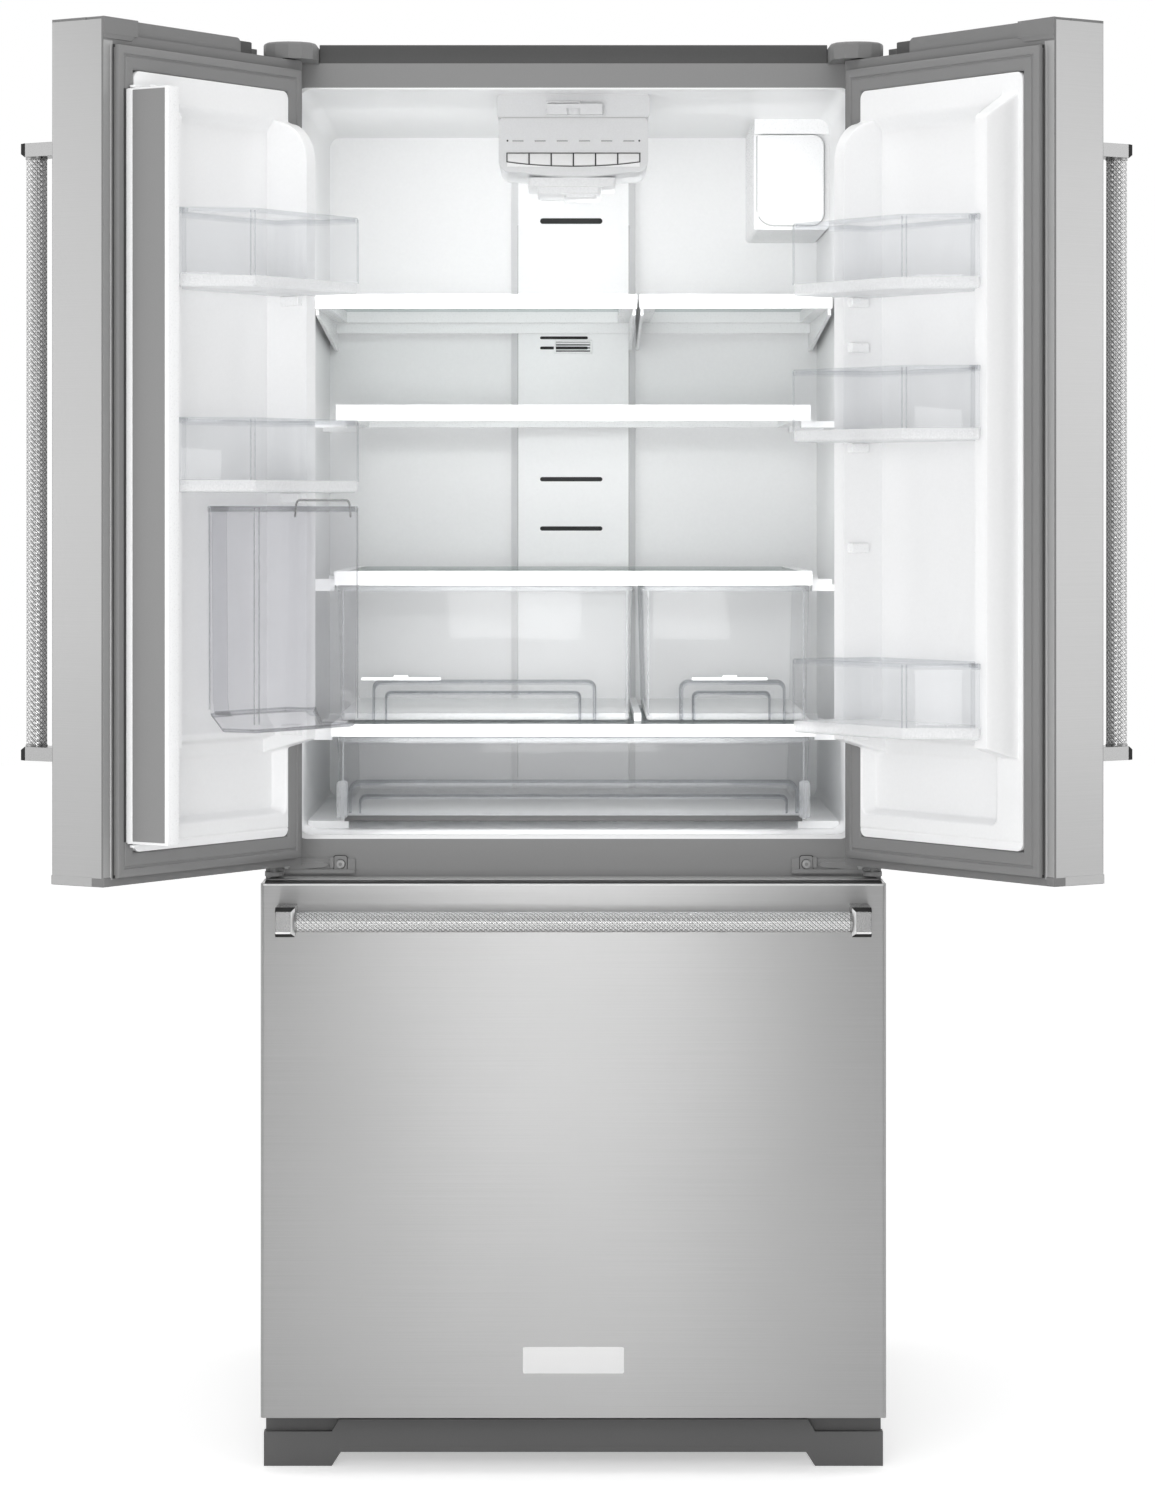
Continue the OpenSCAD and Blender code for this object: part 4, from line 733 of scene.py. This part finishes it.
# wire loop on the bin's front
curve = rounded_poly([(68, z1 - 12), (71, z1 + 7), (174, z1 + 7), (177, z1 - 12)], [0.5, 7, 7, 0.5], 6)
tube = []
for i, p in enumerate(curve):
    t = (Vector(curve[min(len(curve) - 1, i + 1)]) - Vector(curve[max(0, i - 1)])).normalized()
    ring = [(1.3 * math.cos(k * math.pi / 5), 1.3 * math.sin(k * math.pi / 5)) for k in range(10)]
    tube.append([(p[0] - t.y * c, 201.8 + s, p[1] + t.x * c) for c, s in ring])
piece("produce_bin_loop", loft(tube), "handle", "door_left", angle=60)


# ---------- crispers and pantry drawer ----------
def arch(x0, x1, z0, z1, t, r):
    outer = rounded_poly([(x0, z0), (x0, z1), (x1, z1), (x1, z0)], [0.4, r, r, 0.4], 8)
    inner = rounded_poly([(x0 + t, z0), (x0 + t, z1 - t), (x1 - t, z1 - t), (x1 - t, z0)],
                         [0.4, r - t, r - t, 0.4], 8)
    return outer + inner[::-1]


def hood(x0, x1, z0, z1, front, back, t=2.4, r=11):
    """A clear hood over the fingers: an arch that narrows towards the front, with a lip."""
    def at(y, s, lip=0):
        return [(p[0], y, p[1]) for p in arch(x0 + s, x1 - s, z0, z1 - s - lip, t + lip, r)]
    return loft([at(back, 0), at(front + 3, 1.2), at(front + 1, 1.4, 0.6), at(front, 1.8, 0.6)])


TRAY_BACK = 689.8
# each crisper's sides, the sides of its grip, and the ends of its humidity slider
for side, (x0, x1), (g0, g1), (s0, s1) in (("left", (-300, 76), (-255, 29), (-268, -168)),
                                           ("right", (87, 300), (134, 269), (150, 245))):
    body, name = "crisper_" + side, side + "_crisper"
    wall, foot, rim = thin_tray(rounded_rect(x0, x1, 250, TRAY_BACK, 14), 900.6, 1070.9, 5, 9)
    piece(name + "_wall", wall, "crisper", body, swap=name)
    piece(name + "_base", foot, "frost", body)
    ribs = corner_ribs([(x0 + 8, 256), (x1 - 8, 256)], 906, 1066, 1.1)
    piece(name + "_rim", [rim, ribs], "rim_dark", body)
    piece(name + "_hood", [hood(g0, g1, 901.5, 952, 228.5, 257),
                           hood(g0 + 16, g1 - 19, 901.5, 938, 230.5, 252, 1.6, 8)], "hood", body)
    mid = (s0 + s1) / 2
    knob = [(231, 954), (237, 954), (236.5, 958.4), (231.5, 958.4)]
    piece(side + "_humidity_slider", [
        rounded_prism([(232, 951.8), (246, 951.8), (246, 955.6), (234, 955.6)], 1.2, 3, "x", s0, s1),
        rounded_prism(knob, 1, 3, "x", mid - 9, mid + 9)], "white", body, bevel=0.5)

wall, foot, rim = thin_tray(rounded_rect(-296, 296, 175, TRAY_BACK, 14), 778.2, 883.4, 4, 8)
piece("pantry_wall", wall, "pantry", "pantry", swap="pantry_drawer")
piece("pantry_base", foot, "frost", "pantry", "smoked_plastic")
# black strip along the drawer's foot: painted shadow under the drawer
piece("pantry_front_painted_shadow", rounded_prism([(175.6, 778.2), (181.6, 778.2), (181.6, 784.6), (175.6, 785.8)],
                                         1, 3, "x", -286, 286), "strip", "pantry", angle=40)
piece("pantry_front_posts", [prism(rounded_rect(x - 7, x + 7, 783, 829, 3.5, 4), "y", 163, 174.5)
                             for x in (-288.5, 288.5)], "rim_dark", "pantry", "smoked_plastic", bevel=1)
piece("pantry_rim", [rim, corner_ribs([(-288, 180), (288, 180)], 784, 880, 1.2)],
      "rim_dark", "pantry", "smoked_plastic")
piece("pantry_hood", [hood(-281, 281, 790, 830, 153.4, 180, 2.6, 14),
                      hood(-268, 268, 790, 812, 155.4, 174, 1.6, 9)], "hood", "pantry")
piece("pantry_rim_trim", box((-284, 284), (172.6, 176.4), (875, 883)), "clear", "pantry", bevel=1)


# ---------- hinge covers and the strip along the roof ----------
COVER_X, COVER_R, COVER_BACK, COVER_FALL = 345, 32.5, 190, 4  # the top falls towards the front


def cover_level(sign, d, z, fall=COVER_FALL):
    """The cover's outline, round in front, inset by d at height z."""
    r, back = COVER_R - d, COVER_BACK - d
    arc = [math.radians(180 + 30 * i) for i in range(7)]
    pts = [(COVER_X + r * math.cos(a), PIN_D + r * math.sin(a)) for a in arc]
    pts += [(COVER_X + r, back), (COVER_X - r, back)]
    slope = fall / (COVER_BACK - PIN_D + COVER_R)
    return [(sign * x, y, z - slope * (COVER_BACK - y)) for x, y in pts]


COVER_TOP = ((0, 1735.2), (0.5, 1736.8), (1.8, 1738.2), (4, 1738.9), (7, 1739))
piece("hinge_cover_shells", [
    loft([cover_level(sign, 0, 1714.6, 0)] + [cover_level(sign, d, z) for d, z in COVER_TOP])
    for sign in (-1, 1)], "cap", angle=20, swap="hinge_covers")
piece("hinge_cover_screws", [
    revolve([(5.2, 0), (5.2, 0.7), (4.2, 1.5), (1.4, 1.6)], (x, 150, 1738.9), "z", 24)
    for x in (-COVER_X, COVER_X)], "zinc", angle=30)
piece("roof_front_strip", rounded_prism([(89.9, 1716), (112.8, 1716), (112.8, 1738.8), (89.9, 1738.8)],
                                        [0.5, 0.5, 3, 2], 3, "x", -312, 312), "strip", bevel=0.4)

# ---------- control housing, buttons and lens ----------
BUTTON_W, BUTTONS_TOP = 27.6, 1610.9
HALF = 3 * BUTTON_W


def sill(x):
    """Lower edge of the buttons, a shallow arc."""
    return 1595.2 + 5.4 * (abs(x) / HALF) ** 2.2


across = [2 * i / 32 - 1 for i in range(33)]
sill_plate = [(-82.6, 1594.3)] + [(82.6 * k, sill(82.6 * k) - 0.7) for k in across] + [(82.6, 1594.3)]
piece("button_sill", prism(sill_plate, "y", 152.2, 156.6), "white", angle=30)
piece("button_shadow_gap", prism(rounded_rect(-82.7, 82.7, 1595.2, BUTTONS_TOP, 0.4, 2), "y", 156.6, 156.9),
      "gap")
grid = [loft([[(HALF * k, y, sill(HALF * k) - drop)
               for y, drop in ((151.9, 1), (151.9, 0.3), (152.6, 0.3), (152.6, 1))] for k in across]),
        box((-83.4, 83.4), (151.9, 152.6), (BUTTONS_TOP, BUTTONS_TOP + 0.7))]
for i in range(-3, 4):
    x, w = i * BUTTON_W, 0.28 if abs(i) < 3 else 0.5
    grid.append(box((x - w, x + w), (152, 152.7), (sill(x) - 0.8, BUTTONS_TOP + 0.5)))
piece("button_outline", grid, "gap")
piece("indicator_lights", [revolve([(1.2, 0), (1.2, -0.4), (0.7, -0.6)], (x, 153, 1626.5), "y", 16)
                           for x in (-82, 82)], "gap")
marks = []
for i in range(6):
    x, w = (i - 2.5) * BUTTON_W, BUTTON_W / 2 - 0.75
    marks.append(prism(rounded_rect(x - 7, x + 7, 1625.4, 1627, 0.7, 3), "y", 152.5, 153))
    levels = []
    for d, y in ((0, 155.4), (0, 152.5), (0.5, 151.8), (1.4, 151.5)):
        lower = [(x + (w - d) * k / 4, sill(x + w * k / 4) + 0.3 + d) for k in range(-4, 5)]
        top = BUTTONS_TOP - 0.3 - d
        levels.append([(a, y, z) for a, z in lower + [(x + w - d, top), (x - w + d, top)]])
    piece("button_%d_cap" % (i + 1), loft(levels), "button", "button_%d" % (i + 1), angle=40,
          swap="control_button_%d" % (i + 1))
piece("indicator_windows", marks, "badge", bevel=0.1)
# lamp lens, in steps towards its middle: sides, depths, and the heights of each step's top and edge
tiers = []
for x0, x1, d0, d1, heights in ((-57, 53, 180, 310, (1583, 1572.4, 1571.6)),
                                (-45, 35, 186, 304, (1572.2, 1564, 1563)),
                                (-12, 30, 194, 296, (1563.8, 1560.2, 1559.2))):
    tiers.append(loft([[(x, y, z) for x, y in rounded_rect(x0 + k, x1 - k, d0 + k, d1 - k, 6, 4)]
                       for k, z in zip((0, 0.5, 2.2), heights)]))
piece("lamp_lens_steps", tiers, "lens", angle=40, swap="lamp_lens")
# pocket and ledge in the upper strip of the housing, which guide the flipper's pin
piece("guide_ledge", prism(rounded_rect(-33, 36, 1658.6, 1663.6, 1.2, 3), "y", 144.5, 150.8),
      "white", bevel=0.8)
piece("guide_pocket", ring_sweep([(0, 150.2), (0, 147.6), (1, 146.6), (2.6, 146.6), (2.8, 150.2)],
                                 -34, 9, 1664.6, 1675.6), "white", angle=50)
# grey floor of the pocket and grey line under the upper strip: painted shade
piece("guide_pocket_floor", box((-25, 6.6), (149.2, 150.2), (1666.4, 1674)), "seam", bevel=0.3)
piece("strip_shadow_line", box((-93.4, 93.4), (151.2, 153), (1654.6, 1656.2)), "seam", bevel=0.4)

# ---------- air tower and water filter ----------
# a dark sheet behind the slots of the tower: painted shade of the duct
piece("tower_duct_shade", box((-72, 72), (726.5, 728), (780, 1676)), "gap", bevel=0.5)
VENT = (-27, 26, 1383, 1402)
piece("tower_vent_louvres", [box((VENT[0] + 3, VENT[1] - 3), (720.6, 722.4), (z, z + 1.5))
                             for z in (1386, 1390.2, 1394.4, 1398.6)], "gap", bevel=0.2)
piece("tower_vent_frame", ring_sweep([(0, 722.2), (0, 720.4), (0.8, 719.6), (2, 719.6), (2.8, 720.4),
                                      (2.8, 722.2)], *VENT), "white", angle=50)
piece("tower_edge_seams", [box((x - 0.7, x + 0.7), (721, 723.2), (800, 1560))
                           for x in (-76.6, 76.6)], "seam", bevel=0.3)
# filter cover with the seam round it, and the moulding that closes the housing up to the ceiling
cover = rounded_poly([(243, 1543.4), (331, 1543.4), (331, 1662.8), (243, 1662.8)], [22, 16, 15, 3], 8)
piece("filter_cover_panel", loft([[(x, y, z) for x, z in inset_loop(cover, d)]
                                  for y, d in ((482.2, 0), (475.2, 0), (473.9, 0.7), (473.3, 2.2))]),
      "white", "filter_cover", angle=40, swap="water_filter_cover")
piece("filter_cover_pull", prism(rounded_rect(256, 264, 1578, 1640, 3.8, 5), "y", 472.6, 474.2),
      "white", "filter_cover", bevel=0.7, segments=3)
piece("filter_cover_seam", prism(inset_loop(cover, -1), "y", 482.3, 482.9), "fold", slot="dark_steel")
piece("filter_crown", rounded_prism([(239.2, 1664), (239.2, 1684.6), (338.2, 1684.6), (338.2, 1664)],
                                    [3, 0.5, 0.5, 0.5], 4, "y", 476.6, 759.6),
      "white", slot="white_liner", bevel=0.6)

# ---------- top of the freezer drawer ----------
# rolled upper edge of the skin, lighter than the steel as a painted highlight, the joint behind it and the
# lip of the liner
piece("drawer_top_roll_painted_highlight", rounded_prism([(-0.25, 713.3), (1.6, 713.3), (1.6, 715.6), (-0.25, 715.6)],
                                       [0.1, 0.1, 0.3, 0.9], 4, "x", -374.5, 374.5),
      "roll", "freezer_drawer", angle=40)
piece("drawer_top_joint", rounded_prism([(3, 714.9), (30, 714.9), (30, 717.5), (3, 717.5)], 0.5, 2,
                                        "x", -373, 373), "gap", "freezer_drawer", angle=40)
piece("drawer_top_lip", rounded_prism([(31, 714.9), (74, 714.9), (74, 718.4), (31, 718.4)], 0.8, 3,
                                      "x", -370, 370), "fold", "freezer_drawer", angle=40)

# ---------- joints and caps of the doors ----------
for side in ("left", "right"):
    door = "door_" + side
    # dark joints between skin, frame and gasket
    piece(side + "_skin_joint", ring_sweep([(0.3, 75.2), (0.3, 76.1), (0.9, 76.3), (0.9, 75.2)],
                                           0, DOOR_W - 0.1, DOOR_Z0 + 10, SKIN_TOP), "gap", door)
    piece(side + "_gasket_joint", ring_sweep([(-0.7, 77.9), (-0.7, 78.5), (3, 78.5), (3, 77.9)], *SEAL),
          "gap", door)
    # corner of the top cap, with the slanted side that faces the recess
    piece(side + "_cap_corner", loft([
        [(u0, 52.6, z), (375.4, 52.6, z), (375.4, 78.8, z), (u1, 78.8, z)]
        for z, u0, u1 in ((1706.4, 326, 325), (1714, 318, 317), (1726, 314.6, 313.6),
                          (1730.2, 313.6, 312.8), (1731.4, 315, 314.6))]), "cap", door, bevel=0.8, angle=30)
    # ledge and band of the cap, and its recess and front wall, painted dark as shade beside the hinge
    for part, corners, radii, n, depths, mat, bevel in (
            ("ledge", [(60, 1704.6), (60, 1711), (320, 1711), (320, 1704.6)], 0.6, 2,
             (52.4, 77.8), "cap", 0.5),
            ("band", [(113, 1710), (113, 1731.3), (318, 1731.3), (318, 1710)], [0.5, 7, 0.5, 0.5], 5,
             (51, 72), "cap", 1),
            ("recess", [(66.5, 1706), (66.5, 1731.2), (116, 1731.2), (116, 1706)], 1, 2,
             (51.2, 52.6), "dark", 0.4),
            ("front_wall", [(0.4, 1703), (0.4, 1729.6), (97, 1730.6), (97, 1703)], [1, 4, 1, 1], 3,
             (0.6, 5.6), "dark", 0.4)):
        piece(side + "_cap_" + part, rounded_prism(corners, radii, n, "y", *depths), mat, door, bevel=bevel)
    # the skin's side runs down over the lower cap, whose free corner is a plastic foot
    piece(side + "_skin_side_foot", box((375.2, 376.3), (0.8, 61.5), (735.7, 746.2)), "steel", door,
          bevel=0.3)
    piece(side + "_lower_corner", box((362, 375.9), (60, 79), (735.5, 746.4)), "cap", door,
          bevel=1.5, segments=3)

# ---------- centre hinges ----------
SCREW_X, SCREW_Z = 286, 732.4
screws, tabs, seams = [], [], []
for sign in (-1, 1):
    def plate_between(a, b, z0, z1, r, d0, d1):
        return prism(rounded_rect(*sorted((sign * a, sign * b)), z0, z1, r, 4), "y", d0, d1)

    tabs.append(plate_between(278, 294, 722.5, 742.6, 3, 82.6, 84.2))
    tabs.append(box(sorted((sign * 294, sign * 299)), (80, 84.2), (728, 741)))
    tabs.append(prism([(sign * x, z) for x, z in ((299, 731.5), (306, 728.4), (368, 723.4), (368, 733.6),
                                                  (306, 735.2))], "y", 79.6, 83.8))
    seams.append(plate_between(277.2, 294.8, 721.7, 743.4, 3.6, 83.4, 84.1))
    seams.append(revolve([(6.4, 0), (6.4, -0.5), (5.4, -0.5)], (sign * SCREW_X, 82.6, SCREW_Z), "y", 24))
    screws.append(revolve([(5.6, 0), (5.6, -0.8), (4.6, -2), (2.2, -2.2), (2.2, -1.2)],
                          (sign * SCREW_X, 82.8, SCREW_Z), "y", 24))
    screws.append(revolve([(4, 0), (4, -1.2), (3, -2)], (sign * 352, 79.8, 729.4), "y", 6))
piece("centre_hinge_plates", tabs, "frame", bevel=0.6)
piece("centre_hinge_seams", seams, "gap")
piece("centre_hinge_screws", screws, "fold", slot="dark_steel", angle=30)

# ---------- back: seam and screws of the rear covers, and the ring round the water inlet ----------
piece("rear_cover_seam", box((-377, 377), (838.9, 839.9), (330.3, 333.7)), "dark", bevel=0.3)
piece("rear_cover_screws", [
    revolve([(4.6, 0), (4.6, 0.7), (3.6, 1.5), (1.6, 1.6), (1.4, 0.9)], (x, 839.8, z), "y", 20)
    for z in (86, 318, 346, 800, 1250, 1700) for x in (-364, 364)], "dark", angle=30)
ring = [(4.4, -0.4), (4.4, 2.6), (7.6, 2.8), (8.6, 2), (9.4, 0.6), (9.4, -0.4)]
piece("water_inlet_ring", revolve(ring, (320, 840, 200), "y", 32), "white", angle=40)

# ---------- camera, floor and light ----------
# in the photo's pixels: its size, the point straight ahead of the camera, and the focal length
PHOTO_W, PHOTO_H, AHEAD_X, AHEAD_Y, FOCAL = 1155, 1500, 573.4, 513, 4218.2
SENSOR = 36
scene = bpy.context.scene
cam_data = bpy.data.cameras.new("photo_camera")
cam_data.sensor_fit = "HORIZONTAL"
cam_data.sensor_width = SENSOR
cam_data.lens = FOCAL / PHOTO_W * SENSOR
cam_data.shift_x = (PHOTO_W / 2 - AHEAD_X) / PHOTO_W
cam_data.shift_y = -(PHOTO_H / 2 - AHEAD_Y) / PHOTO_W
cam_data.clip_start, cam_data.clip_end = 0.1, 60
cam = bpy.data.objects.new("photo_camera", cam_data)
cam.location = (0, FACE - 5.0947, 1.1634)
cam.rotation_euler = (math.radians(90), 0, 0)
scene.collection.objects.link(cam)
scene.camera = cam

# pale floor, lifted to white where the camera sees it bare
FLOOR = 14
me = bpy.data.meshes.new("studio_floor")
me.from_pydata([(-FLOOR, -FLOOR, 0), (FLOOR, -FLOOR, 0), (FLOOR, FLOOR, 0), (-FLOOR, FLOOR, 0)], [],
               [(0, 1, 2, 3)])
floor = bpy.data.objects.new("studio_floor", me)
scene.collection.objects.link(floor)
floor_mat = surface("pale_floor", (0.86, 0.9), (0.6, 0.7), 0, 40, (0.01, 0.0002),
                    {"Emission Color": rgba(1)})
nt = floor_mat.node_tree
lift = maths(nt, "MULTIPLY", node(nt, "LightPath").outputs["Is Camera Ray"], 0.45)
shader = next(n for n in nt.nodes if n.type == "BSDF_PRINCIPLED")
nt.links.new(lift, shader.inputs["Emission Strength"])
me.materials.append(floor_mat)

# the camera sees plain white, and metal and glass see a white sweep behind and a dimmer room in front
world = bpy.data.worlds.new("studio")
scene.world = world
world.use_nodes = True
nt = world.node_tree
around = node(nt, "SeparateXYZ", {"Vector": node(nt, "TexCoord").outputs["Generated"]})
depth = node(nt, "MapRange", {"Value": around.outputs["Y"], "From Min": -1, "From Max": 1})
room = ramp(nt, depth.outputs["Result"], (0, 0.42), (0.28, 0.6), (0.5, 0.92), (0.62, 1), (1, 1))
ray = node(nt, "LightPath").outputs
mirrored = maths(nt, "MAXIMUM", ray["Is Glossy Ray"], ray["Is Transmission Ray"])
lit = node(nt, "Mix", {"Factor": mirrored, "A": rgba(0.62), "B": room}, data_type="RGBA")
seen = node(nt, "Mix", {"Factor": ray["Is Camera Ray"], "A": lit.outputs["Result"], "B": rgba(1)},
            data_type="RGBA")
background = nt.nodes["Background"]
background.inputs["Strength"].default_value = 1
nt.links.new(seen.outputs["Result"], background.inputs["Color"])

# lamps: place, target, size, power, and whether metal and glass show them
for name, place, target, size, power, glossy in (
        ("front_soft_box", (-0.03, -3.4, 0.72), (0, 0, 0.5), (0.7, 0.8), 6.6, True),
        ("left_soft_box", (-2.9, -1, 1.3), (0, -0.2, 1.2), (1.5, 1.5), 5.8, True),
        ("right_soft_box", (2.9, -1, 1.3), (0, -0.2, 1.2), (1.5, 1.5), 6.2, True),
        ("front_fill", (-0.5, -2.8, 1.05), (0, 0, 1.15), (1.4, 1.2), 24, False),
        ("top_fill", (0, -0.8, 3.6), (0, -0.2, 1), (2.4, 1.6), 27, False),
        ("compartment_fill", cabinet_place((0, 102, 950)), cabinet_place((0, 500, 930)),
         (0.5, 0.34), 1.3, False),
        ("cavity_lamp_left", cabinet_place((-200, 190, 1500)), cabinet_place((-230, 520, 1290)),
         (0.2, 0.1), 0.9, False),
        ("cavity_lamp_right", cabinet_place((80, 160, 1500)), cabinet_place((190, 520, 1220)),
         (0.2, 0.1), 0.95, False)):
    lamp = bpy.data.lights.new(name, "AREA")
    lamp.shape = "RECTANGLE"
    lamp.size, lamp.size_y = size
    lamp.energy = power
    o = bpy.data.objects.new(name, lamp)
    scene.collection.objects.link(o)
    o.location = place
    o.rotation_euler = (Vector(target) - Vector(place)).to_track_quat("-Z", "Y").to_euler()
    o.visible_camera = False
    o.visible_glossy = glossy

scene.view_settings.view_transform = "Standard"
